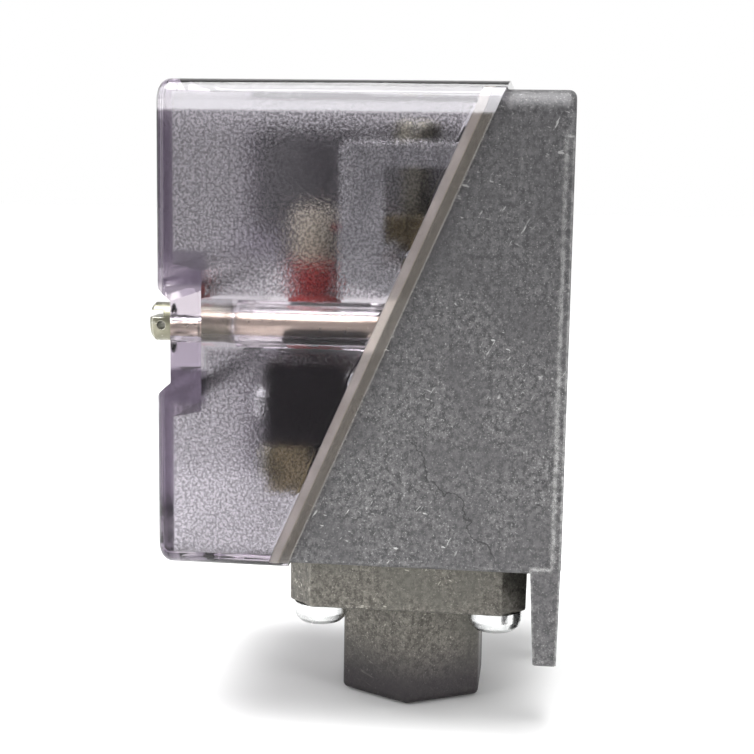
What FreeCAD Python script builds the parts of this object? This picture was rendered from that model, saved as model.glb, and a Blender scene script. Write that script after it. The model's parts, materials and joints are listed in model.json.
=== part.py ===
# Pressure switch: die-cast wedge housing, clear cover on a sloping seam, diaphragm flange
# with a hexagonal female port, and a lever mechanism that works a snap switch.
# Frame: X across the width, Y from the cover (negative) to the back plate (positive), Z up.
# The origin is on the port axis, in the plane of the hexagon's lower face.
import FreeCAD, Part
import Sketcher
import os
import re

Vector = FreeCAD.Vector
Placement = FreeCAD.Placement
Rotation = FreeCAD.Rotation

# name, value in mm (or degrees for a tilt), what it is
SIZES = [
    # pressure flange and port
    ("hexFlats", 24.0, "hexagon across its flats"),
    ("hexHeight", 18.5, "hexagon from its lower face to the flange"),
    ("hexRound", 1.2, "cast rounding of the hexagon"),
    ("portRadius", 5.75, "wall of the G1/4 female port at its thread core"),
    ("portDepth", 13.0, "length of the port wall"),
    ("orificeRadius", 1.5, "passage from the port to the chamber"),
    ("flangeSide", 40.0, "flange square"),
    ("flangeThickness", 10.0, "flange plate"),
    ("flangeChamfer", 4.0, "corner chamfer of the flange"),
    ("chamberRadius", 10.6, "pressure chamber and the plate's room above it"),
    ("chamberDepth", 2.0, "depth of the chamber under the diaphragm"),
    ("diaphragmRadius", 15.8, "diaphragm disc"),
    ("diaphragmThickness", 1.0, "diaphragm rubber"),
    ("seatGap", 0.1, "gap round a piece laid in a recess"),
    ("flangeScrewSpacing", 29.7, "square of the four flange screws"),
    ("flangeScrewRadius", 2.5, "M5 shank"),
    ("flangeScrewHead", 4.55, "head radius"),
    ("flangeScrewHeadHeight", 3.7, "head height"),
    ("flangeScrewLength", 16.0, "length under the head"),
    ("threadGap", 0.02, "gap between a screw and its threaded hole"),
    ("holeGap", 0.25, "gap between a screw and its passing hole"),
    # housing
    ("bodyWidth", 58.0, "housing across its side walls"),
    ("bodyTop", 104.0, "top of the housing"),
    ("bodyBack", 25.5, "back face of the housing"),
    ("bodyRound", 4.0, "rounding along the top of the side walls"),
    ("bodyEdge", 1.2, "rounding of the other long edges"),
    ("wallSide", 2.8, "side walls"),
    ("wallBack", 3.0, "back wall"),
    ("wallTop", 3.0, "top wall"),
    ("floorThickness", 3.5, "housing floor"),
    ("rimDepth", 1.5, "back rim along the parting line"),
    ("rimProud", 0.3, "how far the rim stands out"),
    ("rimTop", 97.0, "upper end of the rim"),
    ("legInner", 13.0, "inner edge of a mounting leg"),
    ("legWidth", 16.3, "width of a mounting leg"),
    ("legFrontRoot", 20.6, "front of a leg at its root"),
    ("legFrontTip", 21.7, "front of a leg at its tip"),
    ("legTip", 9.5, "lower end of a leg's inner prong"),
    ("legOuterTip", 13.4, "lower end of a leg's outer prong"),
    ("slotWidth", 5.0, "open slot of a leg"),
    ("slotTop", 21.0, "upper end of the slot"),
    ("slotOffset", 21.0, "slot from the middle plane"),
    ("legRound", 1.6, "rounding of the leg tips"),
    ("mountHoleRadius", 2.3, "upper mounting hole"),
    ("mountHoleHeight", 80.0, "height of the upper mounting hole"),
    # seam between housing and cover
    ("seamTilt", 23.5, "tilt of the seam from the vertical, degrees"),
    ("seamDepth", -4.9, "seam at its reference height, along Y"),
    ("seamHeight", 66.5, "reference height of the seam"),
    ("gasketThickness", 1.5, "gasket, square to the seam"),
    ("lipOverlap", 1.65, "cover lip past the housing rim, square to the seam"),
    ("lipGap", 0.2, "gap between the lip and the housing"),
    ("lipWall", 1.2, "lip thickness at the sides"),
    # cover
    ("coverFront", 39.5, "front of the cover from the port axis"),
    ("coverRise", 1.2, "cover above and below the housing"),
    ("coverWall", 2.5, "cover wall"),
    ("coverRound", 4.0, "outer rounding of the cover"),
    ("frontRound", 2.0, "rounding round the front faces"),
    ("grooveHeight", 17.4, "groove across the front of the cover, at its mouth"),
    ("grooveDepth", 2.5, "depth of the groove"),
    ("grooveFlare", 2.2, "slope of the groove's sides"),
    ("blockHeight", 21.5, "thick band behind the groove"),
    ("blockDepth", 7.1, "inner face of the band behind the cover's front"),
    ("tubeRadius", 4.3, "screw tube of the cover"),
    ("tubeBore", 2.35, "bore of the screw tube"),
    ("tubeEnd", 5.0, "end of the screw tube in front of the port axis"),
    ("coverScrewHeight", 64.0, "height of the cover screw"),
    ("coverScrewHead", 3.45, "radius of the cover screw's head"),
    ("coverScrewHeadLength", 11.0, "length of the head"),
    ("coverScrewRadius", 2.0, "M4 shank"),
    ("coverScrewTip", 2.0, "end of the shank behind the port axis"),
    ("coverScrewSlot", 1.2, "driver slot"),
    ("sealHoleRadius", 0.75, "cross hole for a sealing wire"),
    ("sealHoleOffset", 2.1, "cross hole from the end of the head"),
    ("postRadius", 5.0, "housing post that takes the cover screw"),
    ("postFace", 4.0, "face of the post in front of the port axis"),
    ("insertRadius", 3.2, "brass insert in the post"),
    ("insertLength", 8.0, "length of the insert"),
    # pressure plate, rod and bush
    ("plateRadius", 10.0, "pressure plate"),
    ("plateThickness", 1.8, "pressure plate"),
    ("plateRoom", 2.8, "room for the plate above the diaphragm"),
    ("rodRadius", 2.0, "push rod"),
    ("bushRadius", 3.5, "guide bush, outside"),
    ("runningGap", 0.04, "running gap of a shaft in its bush"),
    ("bossRadius", 13.0, "wide boss on the floor"),
    ("bossHeight", 2.0, "height of the wide boss"),
    ("neckRadius", 7.0, "narrow boss that holds the bush"),
    ("neckHeight", 6.0, "height of the narrow boss above the floor"),
    ("screwBossRadius", 5.0, "bosses over the flange screws"),
    ("screwBossHeight", 3.0, "height of those bosses"),
    # frame
    ("frameWidth", 37.0, "bracket across its cheeks"),
    ("sheet", 1.5, "sheet steel of the bracket"),
    ("frameFront", 11.0, "front edge of the cheeks ahead of the port axis"),
    ("frameBase", 72.8, "lower edge of the forward part of the cheeks"),
    ("frameTop", 96.0, "top of the bracket"),
    ("frameFoot", 39.0, "foot of the bracket"),
    ("windowFront", 4.5, "front of the window in each cheek"),
    ("windowBack", 14.0, "back of the window"),
    ("windowMargin", 2.5, "strip above and below the window"),
    ("stripWidth", 4.5, "folded strip that carries the scale"),
    ("padHeight", 1.0, "pads between the housing and the bracket"),
    ("padRadius", 4.5, "pads and washers behind the bracket"),
    ("frameScrewX", 13.0, "bracket screws from the middle plane"),
    ("frameScrewLow", 52.0, "lower bracket screws"),
    ("frameScrewHigh", 90.0, "upper bracket screws"),
    ("smallScrewRadius", 1.5, "M3 shank"),
    ("bracketScrewDepth", 3.0, "side screws ahead of the port axis"),
    ("bracketScrewInset", 3.9, "side screws from the ends of the snap switch"),
    ("frameOpening", 8.0, "half width of the opening in the bracket's back"),
    ("openingBelow", 7.0, "opening below the cover screw"),
    ("openingAbove", 6.0, "opening above the mounting hole"),
    ("cheekFoot", 12.5, "depth of a cheek at its foot"),
    ("cheekStep", 6.4, "front of a cheek beside the snap switch"),
    ("screwHead", 3.6, "M4 head radius"),
    ("screwHeadHeight", 2.4, "M4 head height"),
    ("washerThickness", 0.8, "washers"),
    ("clipThickness", 0.6, "snap rings on the pin and the cover screw"),
    ("smallScrewHead", 2.75, "M3 head radius"),
    ("smallScrewHeadHeight", 2.0, "M3 head height"),
    # lever
    ("pinRadius", 1.5, "lever pin"),
    ("pinDepth", 14.0, "lever pin behind the port axis"),
    ("leverThickness", 2.0, "lever plate"),
    ("leverWidth", 32.0, "lever across the bearing barrel"),
    ("leverTop", 43.6, "upper face of the lever"),
    ("leverShoulder", 7.0, "front of the lever's wide part ahead of the port axis"),
    ("leverNoseHalf", 4.0, "half width of the lever's nose"),
    ("leverClearance", 2.0, "lever from the cheeks"),
    ("leverNose", 16.0, "front end of the lever ahead of the port axis"),
    ("barrelRadius", 3.2, "bearing barrel of the lever"),
    ("touchGap", 0.05, "gap where one moving piece meets the next"),
    # range spring and setting spindle
    ("springX", 11.5, "range spring from the middle plane"),
    ("springRadius", 4.1, "mean radius of the range spring"),
    ("springWire", 0.75, "wire radius of the range spring"),
    ("springTurns", 9.0, "turns of the range spring"),
    ("seatRadius", 5.0, "spring seat"),
    ("seatHeight", 1.6, "flange of the spring seat"),
    ("nutBottom", 80.0, "underside of the range nut at its middle setting"),
    ("nutHeight", 4.0, "range nut"),
    ("nutWidth", 10.0, "range nut"),
    ("spindleRadius", 2.5, "M5 setting spindle"),
    ("spindleEnd", 70.0, "lower end of the spindle"),
    ("spindleHead", 4.0, "spindle head radius"),
    ("spindleHeadHeight", 3.4, "spindle head"),
    ("pointerReach", 13.4, "pointer tip ahead of the port axis"),
    ("scaleThickness", 1.0, "scale plate"),
    # snap switch
    ("switchWidth", 32.0, "snap switch along X"),
    ("switchFront", 24.6, "front face ahead of the port axis"),
    ("switchBack", 10.0, "back face ahead of the port axis"),
    ("switchBottom", 45.3, "underside"),
    ("switchTop", 59.2, "top"),
    ("lidThickness", 1.5, "lid of the snap switch"),
    ("switchWall", 2.0, "walls of the snap switch"),
    ("switchEnd", 5.0, "solid ends beside the hollow of the snap switch"),
    ("switchScrewInset", 2.5, "its screws from the ends"),
    ("switchScrewRise", 7.0, "its screws above the underside"),
    ("switchScrewHead", 2.4, "head radius of its screws"),
    ("bladeRise", 4.7, "contact blade above the underside"),
    ("buttonRadius", 1.1, "contact buttons"),
    ("plungerDepth", 14.0, "plunger ahead of the port axis"),
    ("plungerRadius", 1.2, "plunger"),
    ("terminalPitch", 11.0, "spacing of the terminals"),
    ("terminalWidth", 7.0, "terminal clamp"),
    ("terminalHeight", 8.3, "terminal clamp"),
    ("terminalDepth", 6.8, "terminal clamp"),
    # differential knob
    ("knobX", -9.4, "knob from the middle plane"),
    ("knobDepth", 20.3, "knob ahead of the port axis"),
    ("knobRadius", 4.9, "red knob"),
    ("knobBottom", 66.8, "underside of the red knob"),
    ("knobHeight", 8.0, "red knob"),
    ("dialRadius", 3.9, "dial cap on the knob"),
    ("dialHeight", 9.6, "dial cap on the knob"),
    ("knobShaft", 1.5, "shaft of the knob"),
    ("gripRadius", 0.55, "grip grooves round the knob"),
    # cable gland and earth terminal
    ("glandDepth", 10.0, "gland behind the port axis"),
    ("glandHeight", 52.0, "height of the gland"),
    ("glandRadius", 8.0, "M16 thread of the gland"),
    ("glandFlats", 20.0, "gland hexagons across flats"),
    ("glandHex", 5.0, "gland body hexagon"),
    ("glandWasher", 1.2, "sealing washer of the gland"),
    ("capGap", 1.0, "open thread between the gland body and its cap nut"),
    ("capHex", 7.0, "hexagon of the cap nut"),
    ("sealWall", 1.5, "wall of the gland's seal"),
    ("glandNeck", 8.0, "gland thread under the cap nut"),
    ("glandCap", 13.0, "gland cap nut"),
    ("glandSeal", 3.9, "cable passage of the gland"),
    ("lockNut", 3.2, "lock nut inside the housing"),
    ("earthX", 20.0, "earth terminal from the middle plane"),
    ("earthDepth", 2.0, "earth terminal behind the port axis"),
    ("earthBoss", 4.0, "earth boss radius"),
]

# places that follow from the sizes above
DERIVED = {
    "bodyBottom": "hexHeight + flangeThickness",
    "floorTop": "bodyBottom + floorThickness",
    "bodyHalf": "bodyWidth / 2",
    "innerHalf": "bodyHalf - wallSide",
    "innerBack": "bodyBack - wallBack",
    "innerTop": "bodyTop - wallTop",
    "coverHalf": "bodyHalf + lipGap + lipWall",
    "coverTop": "bodyTop + coverRise",
    "coverBottom": "bodyBottom - coverRise + 0.1",
    "coverInner": "coverHalf - coverWall",
    "grooveFloor": "0 - coverFront + grooveDepth",
    "blockFace": "0 - coverFront + blockDepth",
    "screwAt": "flangeScrewSpacing / 2",
    "frameHalf": "frameWidth / 2",
    "cheekInner": "frameHalf - sheet",
    "frameBack": "innerBack - padHeight",
    "leverMid": "leverTop - leverThickness / 2",
    "leverBottom": "leverTop - leverThickness",
    "plateBottom": "bodyBottom",
    "plateTop": "plateBottom + plateThickness",
    "spindleTop": "frameTop + spindleHeadHeight + touchGap",
    "glandFace": "0 - bodyHalf",
}

doc = FreeCAD.newDocument("pressure_switch")
sheet = doc.addObject("Spreadsheet::Sheet", "Sizes")
aliases = set()
for row, (alias, value, words) in enumerate(SIZES, start=1):
    sheet.set("A%d" % row, words)
    sheet.set("B%d" % row, repr(value))
    sheet.setAlias("B%d" % row, alias)
    aliases.add(alias)
doc.recompute()

nodes = []


def formula(text):
    """Turn plain size names into references to the sheet."""
    def swap(match):
        word = match.group(0)
        if word in aliases:
            return "Sizes." + word
        if word in DERIVED:
            return "(" + formula(DERIVED[word]) + ")"
        return word
    return re.sub(r"[A-Za-z]\w*", swap, str(text))


def number(text):
    return float(sheet.evalExpression(formula(text)))


def seam(height, shift="0"):
    """Y of the seam plane at a height, moved back square to itself by shift."""
    return "(seamDepth + ((%s) - seamHeight) * tan(seamTilt) + (%s) / cos(seamTilt))" % (height, shift)


def keep(label, thing):
    """Name a finished sub-part."""
    thing.Label = label
    nodes.append(thing)
    return thing


# PartDesign helpers

def newBody(label):
    body = doc.addObject("PartDesign::Body", label)
    doc.recompute()
    return body


def newSketch(body, role, offset="0"):
    """A sketch on an origin plane of its own body, moved along the plane's normal."""
    sketch = body.newObject("Sketcher::SketchObject", body.Label + "Sketch")
    plane = [item for item in body.Origin.OriginFeatures if item.Role == role][0]
    sketch.AttachmentSupport = [(plane, "")]
    sketch.MapMode = "FlatFace"
    sketch.setExpression("AttachmentOffset.Base.z", formula(offset))
    return sketch


def pin(sketch, geometry, vertex, across, up):
    """Hold one point of a sketch at two formulas."""
    for kind, text in (("DistanceX", across), ("DistanceY", up)):
        rule = Sketcher.Constraint(kind, -1, 1, geometry, vertex, number(text))
        index = sketch.addConstraint(rule)
        sketch.setExpression("Constraints[%d]" % index, formula(text))


def outline(sketch, corners):
    """A closed outline of straight sides through corners given as formulas."""
    points = [Vector(number(across), number(up), 0) for across, up in corners]
    count = len(points)
    first = sketch.GeometryCount
    for index in range(count):
        sketch.addGeometry(Part.LineSegment(points[index], points[(index + 1) % count]))
    for index in range(count):
        following = first + (index + 1) % count
        sketch.addConstraint(Sketcher.Constraint("Coincident", first + index, 2, following, 1))
        pin(sketch, first + index, 1, *corners[index])


def ring(sketch, across, up, radius):
    """A circle whose centre and radius are formulas."""
    centre = Vector(number(across), number(up), 0)
    index = sketch.addGeometry(Part.Circle(centre, Vector(0, 0, 1), number(radius)))
    pin(sketch, index, 3, across, up)
    rule = sketch.addConstraint(Sketcher.Constraint("Radius", index, number(radius)))
    sketch.setExpression("Constraints[%d]" % rule, formula(radius))


def rectangle(sketch, left, low, right, high):
    outline(sketch, [(left, low), (right, low), (right, high), (left, high)])


def hexagon(sketch, across, up, flats):
    """A hexagon with its corners on the first axis of the sketch."""
    tip = "(%s) / sqrt(3)" % flats
    half = "(%s) / 2" % flats
    corners = [
        ("(%s) + %s" % (across, tip), up),
        ("(%s) + %s / 2" % (across, tip), "(%s) + %s" % (up, half)),
        ("(%s) - %s / 2" % (across, tip), "(%s) + %s" % (up, half)),
        ("(%s) - %s" % (across, tip), up),
        ("(%s) - %s / 2" % (across, tip), "(%s) - %s" % (up, half)),
        ("(%s) + %s / 2" % (across, tip), "(%s) - %s" % (up, half)),
    ]
    outline(sketch, corners)


def pad(body, sketch, length, symmetric=False, reverse=False):
    feature = body.newObject("PartDesign::Pad", body.Label + "Pad")
    feature.Profile = sketch
    feature.setExpression("Length", formula(length))
    feature.SideType = "Symmetric" if symmetric else "One side"
    feature.Reversed = reverse
    doc.recompute()
    return feature


def pocket(body, sketch, length, symmetric=False, reverse=False):
    """Cut along the plane's normal reversed, or along the normal with reverse."""
    before = body.Shape.Volume
    feature = body.newObject("PartDesign::Pocket", body.Label + "Pocket")
    feature.Profile = sketch
    feature.setExpression("Length", formula(length))
    feature.SideType = "Symmetric" if symmetric else "One side"
    feature.Reversed = reverse
    doc.recompute()
    if body.Shape.Volume > before - 0.01:
        raise RuntimeError("a pocket of %s cut nothing" % body.Label)
    return feature


def soften(body, kind, size, wanted):
    """Fillet or chamfer the edges of a body that a test picks out."""
    base = body.Tip
    names = []
    for index, edge in enumerate(base.Shape.Edges, start=1):
        if wanted(edge):
            names.append("Edge%d" % index)
    feature = body.newObject("PartDesign::" + kind, body.Label + kind)
    feature.Base = (base, names)
    size_name = "Radius" if kind == "Fillet" else "Size"
    feature.setExpression(size_name, formula(size))
    doc.recompute()
    if "Invalid" in feature.State or not names:
        raise RuntimeError("%s of %s failed on %s" % (kind, body.Label, names))
    return feature


def along(edge, axis):
    """True for a straight edge that runs along a direction."""
    if not isinstance(edge.Curve, Part.Line):
        return False
    return abs(abs(edge.Curve.Direction.dot(axis)) - 1) < 1e-6


def near(value, text):
    return abs(value - number(text)) < 1e-4


AXIS_X = Vector(1, 0, 0)
AXIS_Y = Vector(0, 1, 0)
AXIS_Z = Vector(0, 0, 1)
TURNS = {
    "+Z": Rotation(),
    "-Z": Rotation(AXIS_X, 180),
    "+Y": Rotation(AXIS_X, -90),
    "-Y": Rotation(AXIS_X, 90),
    "+X": Rotation(AXIS_Y, 90),
    "-X": Rotation(AXIS_Y, -90),
}


# Part helpers

def place(thing, spot, axis="+Z"):
    thing.Placement = Placement(Vector(), TURNS[axis])
    for letter, text in zip("xyz", spot):
        thing.setExpression("Placement.Base." + letter, formula(text))


def bar(low, high):
    """A box between two corners given as formulas."""
    thing = doc.addObject("Part::Box", "Box")
    for side, start, end in zip(("Length", "Width", "Height"), low, high):
        thing.setExpression(side, formula("(%s) - (%s)" % (end, start)))
    place(thing, low)
    return thing


def rod(radius, length, spot, axis="+Z"):
    thing = doc.addObject("Part::Cylinder", "Cylinder")
    thing.setExpression("Radius", formula(radius))
    thing.setExpression("Height", formula(length))
    place(thing, spot, axis)
    return thing


def turned(profile, spot, axis="+Z"):
    """A turned piece: radius and height pairs, spun about its own axis."""
    sketch = doc.addObject("Sketcher::SketchObject", "Profile")
    sketch.Placement = Placement(Vector(), Rotation(AXIS_X, 90))
    outline(sketch, profile)
    thing = doc.addObject("Part::Revolution", "Turned")
    thing.Source = sketch
    thing.Axis = AXIS_Z
    thing.Base = Vector()
    thing.Angle = 360
    thing.Solid = True
    place(thing, spot, axis)
    return thing


def join(*things):
    thing = doc.addObject("Part::MultiFuse", "Join")
    thing.Shapes = list(things)
    return thing


def cut(base, *tools):
    thing = doc.addObject("Part::Cut", "Cut")
    thing.Base = base
    thing.Tool = tools[0] if len(tools) == 1 else join(*tools)
    return thing


def group(*things):
    thing = doc.addObject("Part::Compound", "Group")
    thing.Links = list(things)
    return thing


def slot(radius, start, end, width, spot, axis):
    """A driver slot: a bar across a screw head, between two depths along the head's axis."""
    x, y, z = spot
    half = "(%s) / 2" % width
    if axis == "+Z":
        return bar(("%s - (%s)" % (x, radius), "%s - %s" % (y, half), "%s + (%s)" % (z, start)),
                   ("%s + (%s)" % (x, radius), "%s + %s" % (y, half), "%s + (%s)" % (z, end)))
    if axis == "-Y":
        return bar(("%s - (%s)" % (x, radius), "%s - (%s)" % (y, end), "%s - %s" % (z, half)),
                   ("%s + (%s)" % (x, radius), "%s - (%s)" % (y, start), "%s + %s" % (z, half)))
    sign, first, last = ("+", start, end) if axis == "+X" else ("-", end, start)
    return bar(("%s %s (%s)" % (x, sign, first), "%s - (%s)" % (y, radius), "%s - %s" % (z, half)),
               ("%s %s (%s)" % (x, sign, last), "%s + (%s)" % (y, radius), "%s + %s" % (z, half)))


def machineScrew(radius, length, head, tall, spot, axis):
    """A slotted cheese-head screw: spot is the centre of its seat, axis points out of the head."""
    profile = [
        ("0", "0 - (%s)" % length),
        ("(%s) - 0.3" % radius, "0 - (%s)" % length),
        (radius, "0.3 - (%s)" % length),
        (radius, "0"),
        (head, "0"),
        (head, "(%s) * 0.7" % tall),
        ("(%s) * 0.88" % head, tall),
        ("0", tall),
    ]
    blank = turned(profile, spot, axis)
    return cut(blank, slot("(%s) + 1" % head, "(%s) * 0.5" % tall, "(%s) + 1" % tall, "0.8", spot, axis))


# pressure side

def makeFlange():
    body = newBody("pressure_flange")
    sketch = newSketch(body, "XY_Plane")
    hexagon(sketch, "0", "0", "hexFlats")
    pad(body, sketch, "hexHeight + 1")
    soften(body, "Fillet", "hexRound", lambda edge: along(edge, AXIS_Z))
    soften(body, "Fillet", "hexRound * 0.8", lambda edge: edge.BoundBox.ZMax < 1e-4)

    sketch = newSketch(body, "XY_Plane", "hexHeight")
    half = "flangeSide / 2"
    rectangle(sketch, "0 - " + half, "0 - " + half, half, half)
    pad(body, sketch, "flangeThickness")
    side = number("flangeSide / 2")
    soften(body, "Chamfer", "flangeChamfer",
           lambda edge: along(edge, AXIS_Z) and abs(abs(edge.CenterOfMass.x) - side) < 1e-4)
    soften(body, "Fillet", "0.6",
           lambda edge: edge.BoundBox.ZLength < 1e-4 and near(edge.CenterOfMass.z, "hexHeight")
           and max(abs(edge.CenterOfMass.x), abs(edge.CenterOfMass.y)) > side - 3)

    sketch = newSketch(body, "XY_Plane")
    ring(sketch, "0", "0", "portRadius")
    pocket(body, sketch, "portDepth", reverse=True)
    sketch = newSketch(body, "XY_Plane")
    ring(sketch, "0", "0", "orificeRadius")
    pocket(body, sketch, "bodyBottom + 1", reverse=True)
    sketch = newSketch(body, "XY_Plane", "bodyBottom - diaphragmThickness - chamberDepth")
    ring(sketch, "0", "0", "chamberRadius")
    pocket(body, sketch, "chamberDepth + diaphragmThickness + 1", reverse=True)
    sketch = newSketch(body, "XY_Plane", "bodyBottom - diaphragmThickness")
    ring(sketch, "0", "0", "diaphragmRadius + seatGap")
    pocket(body, sketch, "diaphragmThickness + 1", reverse=True)
    sketch = newSketch(body, "XY_Plane", "hexHeight - 1")
    for sx, sy in ((1, 1), (1, -1), (-1, 1), (-1, -1)):
        ring(sketch, "%d * screwAt" % sx, "%d * screwAt" % sy, "flangeScrewRadius + holeGap")
    pocket(body, sketch, "flangeThickness + 2", reverse=True)
    keep("pressure_flange", body)


def makeFlangeScrews():
    screws = []
    for sx, sy in ((1, 1), (1, -1), (-1, 1), (-1, -1)):
        head = "flangeScrewHead"
        tall = "flangeScrewHeadHeight"
        profile = [
            ("0", "flangeScrewLength"),
            ("flangeScrewRadius - 0.4", "flangeScrewLength"),
            ("flangeScrewRadius", "flangeScrewLength - 0.4"),
            ("flangeScrewRadius", "0"),
            (head, "0"),
            (head, "0 - %s * 0.45" % tall),
            (head + " * 0.93", "0 - %s * 0.72" % tall),
            (head + " * 0.78", "0 - %s * 0.9" % tall),
            (head + " * 0.55", "0 - " + tall),
            ("0", "0 - " + tall),
        ]
        blank = turned(profile, ("%d * screwAt" % sx, "%d * screwAt" % sy, "hexHeight"))
        tools = []
        for wide, narrow in ((2.6, 0.55), (0.55, 2.6)):
            tools.append(bar(("%d * screwAt - %g" % (sx, wide), "%d * screwAt - %g" % (sy, narrow),
                              "hexHeight - %s - 1" % tall),
                             ("%d * screwAt + %g" % (sx, wide), "%d * screwAt + %g" % (sy, narrow),
                              "hexHeight - %s * 0.42" % tall)))
        screws.append(cut(blank, *tools))
    keep("flange_screws", group(*screws))


def makeDiaphragm():
    top = "bodyBottom"
    low = "bodyBottom - diaphragmThickness"
    profile = [
        ("0", low),
        ("diaphragmRadius", low),
        ("diaphragmRadius", top),
        ("0", top),
    ]
    keep("diaphragm", turned(profile, ("0", "0", "0")))


def makePressurePlate():
    profile = [
        ("0", "plateBottom"),
        ("plateRadius - 0.6", "plateBottom"),
        ("plateRadius", "plateBottom + 0.6"),
        ("plateRadius", "plateTop"),
        ("rodRadius", "plateTop"),
        ("rodRadius", "plateBottom + 0.8"),
        ("0", "plateBottom + 0.8"),
    ]
    keep("pressure_plate", turned(profile, ("0", "0", "0")))
    profile = [
        ("0", "plateBottom + 0.8"),
        ("rodRadius - runningGap", "plateBottom + 0.8"),
        ("rodRadius - runningGap", "leverBottom - 1.2"),
        ("rodRadius * 0.85", "leverBottom - 0.6"),
        ("rodRadius * 0.5", "leverBottom - 0.2"),
        ("rodRadius * 0.15", "leverBottom - touchGap"),
        ("0", "leverBottom - touchGap"),
    ]
    keep("push_rod", turned(profile, ("0", "0", "0")))
    profile = [
        ("rodRadius", "bodyBottom + plateRoom"),
        ("bushRadius", "bodyBottom + plateRoom"),
        ("bushRadius", "floorTop + neckHeight"),
        ("bushRadius + 1.2", "floorTop + neckHeight"),
        ("bushRadius + 1.2", "floorTop + neckHeight + 0.8"),
        ("rodRadius", "floorTop + neckHeight + 0.8"),
    ]
    keep("guide_bush", turned(profile, ("0", "0", "0")))


# housing

def makeHousing():
    body = newBody("housing")
    rim = "gasketThickness"
    sketch = newSketch(body, "YZ_Plane")
    outline(sketch, [
        (seam("bodyBottom", rim), "bodyBottom"),
        ("bodyBack", "bodyBottom"),
        ("bodyBack", "bodyTop"),
        (seam("bodyTop", rim), "bodyTop"),
    ])
    pad(body, sketch, "bodyWidth", symmetric=True)
    half = number("bodyHalf")
    soften(body, "Fillet", "bodyRound",
           lambda edge: along(edge, AXIS_Y) and near(edge.CenterOfMass.z, "bodyTop"))
    soften(body, "Fillet", "bodyEdge",
           lambda edge: along(edge, AXIS_X) and near(edge.CenterOfMass.y, "bodyBack")
           and near(edge.CenterOfMass.z, "bodyTop"))
    soften(body, "Fillet", "bodyEdge * 0.7",
           lambda edge: along(edge, AXIS_Y) and near(edge.CenterOfMass.z, "bodyBottom")
           and abs(abs(edge.CenterOfMass.x) - half) < 1e-4)

    sketch = newSketch(body, "YZ_Plane")
    rectangle(sketch, "bodyBack - rimDepth", "bodyBottom", "bodyBack - 0.1", "rimTop")
    pad(body, sketch, "bodyWidth + rimProud * 2", symmetric=True)
    soften(body, "Chamfer", "rimProud * 0.8",
           lambda edge: along(edge, AXIS_Z) and abs(edge.CenterOfMass.x) > half + 0.1
           and near(edge.CenterOfMass.y, "bodyBack - rimDepth"))

    for side in (1, -1):
        inner = "legInner" if side > 0 else "0 - legInner - legWidth"
        sketch = newSketch(body, "YZ_Plane", inner)
        outline(sketch, [
            ("legFrontRoot", "bodyBottom + 1"),
            ("legFrontTip", "legTip"),
            ("bodyBack - 0.4", "legTip"),
            ("bodyBack - 0.1", "bodyBottom + 1"),
        ])
        pad(body, sketch, "legWidth")
    for side in (1, -1):
        sketch = newSketch(body, "XZ_Plane", "0 - bodyBack - 1")
        left = "%d * slotOffset - slotWidth / 2" % side
        right = "%d * slotOffset + slotWidth / 2" % side
        rectangle(sketch, left, "legTip - 1", right, "slotTop")
        pocket(body, sketch, "8", reverse=True)
        sketch = newSketch(body, "XZ_Plane", "0 - bodyBack - 1")
        outer = "%d * (slotOffset + slotWidth / 2 - 0.01)" % side
        beyond = "%d * (legInner + legWidth + 1)" % side
        outline(sketch, [
            (outer, "legTip - 1"),
            (beyond, "legTip - 1"),
            (beyond, "legOuterTip"),
            (outer, "legOuterTip"),
        ])
        pocket(body, sketch, "8", reverse=True)
    soften(body, "Fillet", "slotWidth * 0.3",
           lambda edge: along(edge, AXIS_Y) and near(edge.CenterOfMass.z, "slotTop"))
    tips = (number("legTip"), number("legOuterTip"))
    soften(body, "Fillet", "legRound",
           lambda edge: edge.BoundBox.ZMax < number("legOuterTip") + 0.01
           and edge.BoundBox.XLength < 1e-4 and edge.BoundBox.ZLength < 0.2
           and min(abs(edge.CenterOfMass.z - tip) for tip in tips) < 0.2)

    # hollow
    sketch = newSketch(body, "YZ_Plane")
    outline(sketch, [
        (seam("floorTop", "0 - 6"), "floorTop"),
        ("innerBack", "floorTop"),
        ("innerBack", "innerTop"),
        (seam("innerTop", "0 - 6"), "innerTop"),
    ])
    pocket(body, sketch, "innerHalf * 2", symmetric=True)

    # bosses on the floor
    bosses = [
        ("0", "0", "bossRadius", "bossHeight"),
        ("0", "0", "neckRadius", "neckHeight"),
        ("earthX", "earthDepth", "earthBoss", "earthBoss"),
    ]
    for sx, sy in ((1, 1), (1, -1), (-1, 1), (-1, -1)):
        bosses.append(("%d * screwAt" % sx, "%d * screwAt" % sy, "screwBossRadius", "screwBossHeight"))
    for x, y, radius, tall in bosses:
        sketch = newSketch(body, "XY_Plane", "floorTop - 0.5")
        ring(sketch, x, y, radius)
        pad(body, sketch, "(%s) + 0.5" % tall)
    sketch = newSketch(body, "YZ_Plane")
    outline(sketch, [
        (seam("bodyBottom + 0.01", rim), "bodyBottom + 0.01"),
        (seam("bodyTop", rim), "bodyTop"),
        (seam("bodyTop", "0 - 40"), "bodyTop"),
        (seam("bodyBottom + 0.01", "0 - 40"), "bodyBottom + 0.01"),
    ])
    pocket(body, sketch, "bodyWidth + 10", symmetric=True)

    # post for the cover screw and pads for the bracket
    sketch = newSketch(body, "XZ_Plane", "0 - innerBack - 0.5")
    ring(sketch, "0", "coverScrewHeight", "postRadius")
    pad(body, sketch, "innerBack + postFace + 0.5")
    for sx in (1, -1):
        for height in ("frameScrewLow", "frameScrewHigh"):
            sketch = newSketch(body, "XZ_Plane", "0 - innerBack - 0.5")
            ring(sketch, "%d * frameScrewX" % sx, height, "padRadius")
            pad(body, sketch, "padHeight + 0.5")

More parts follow.
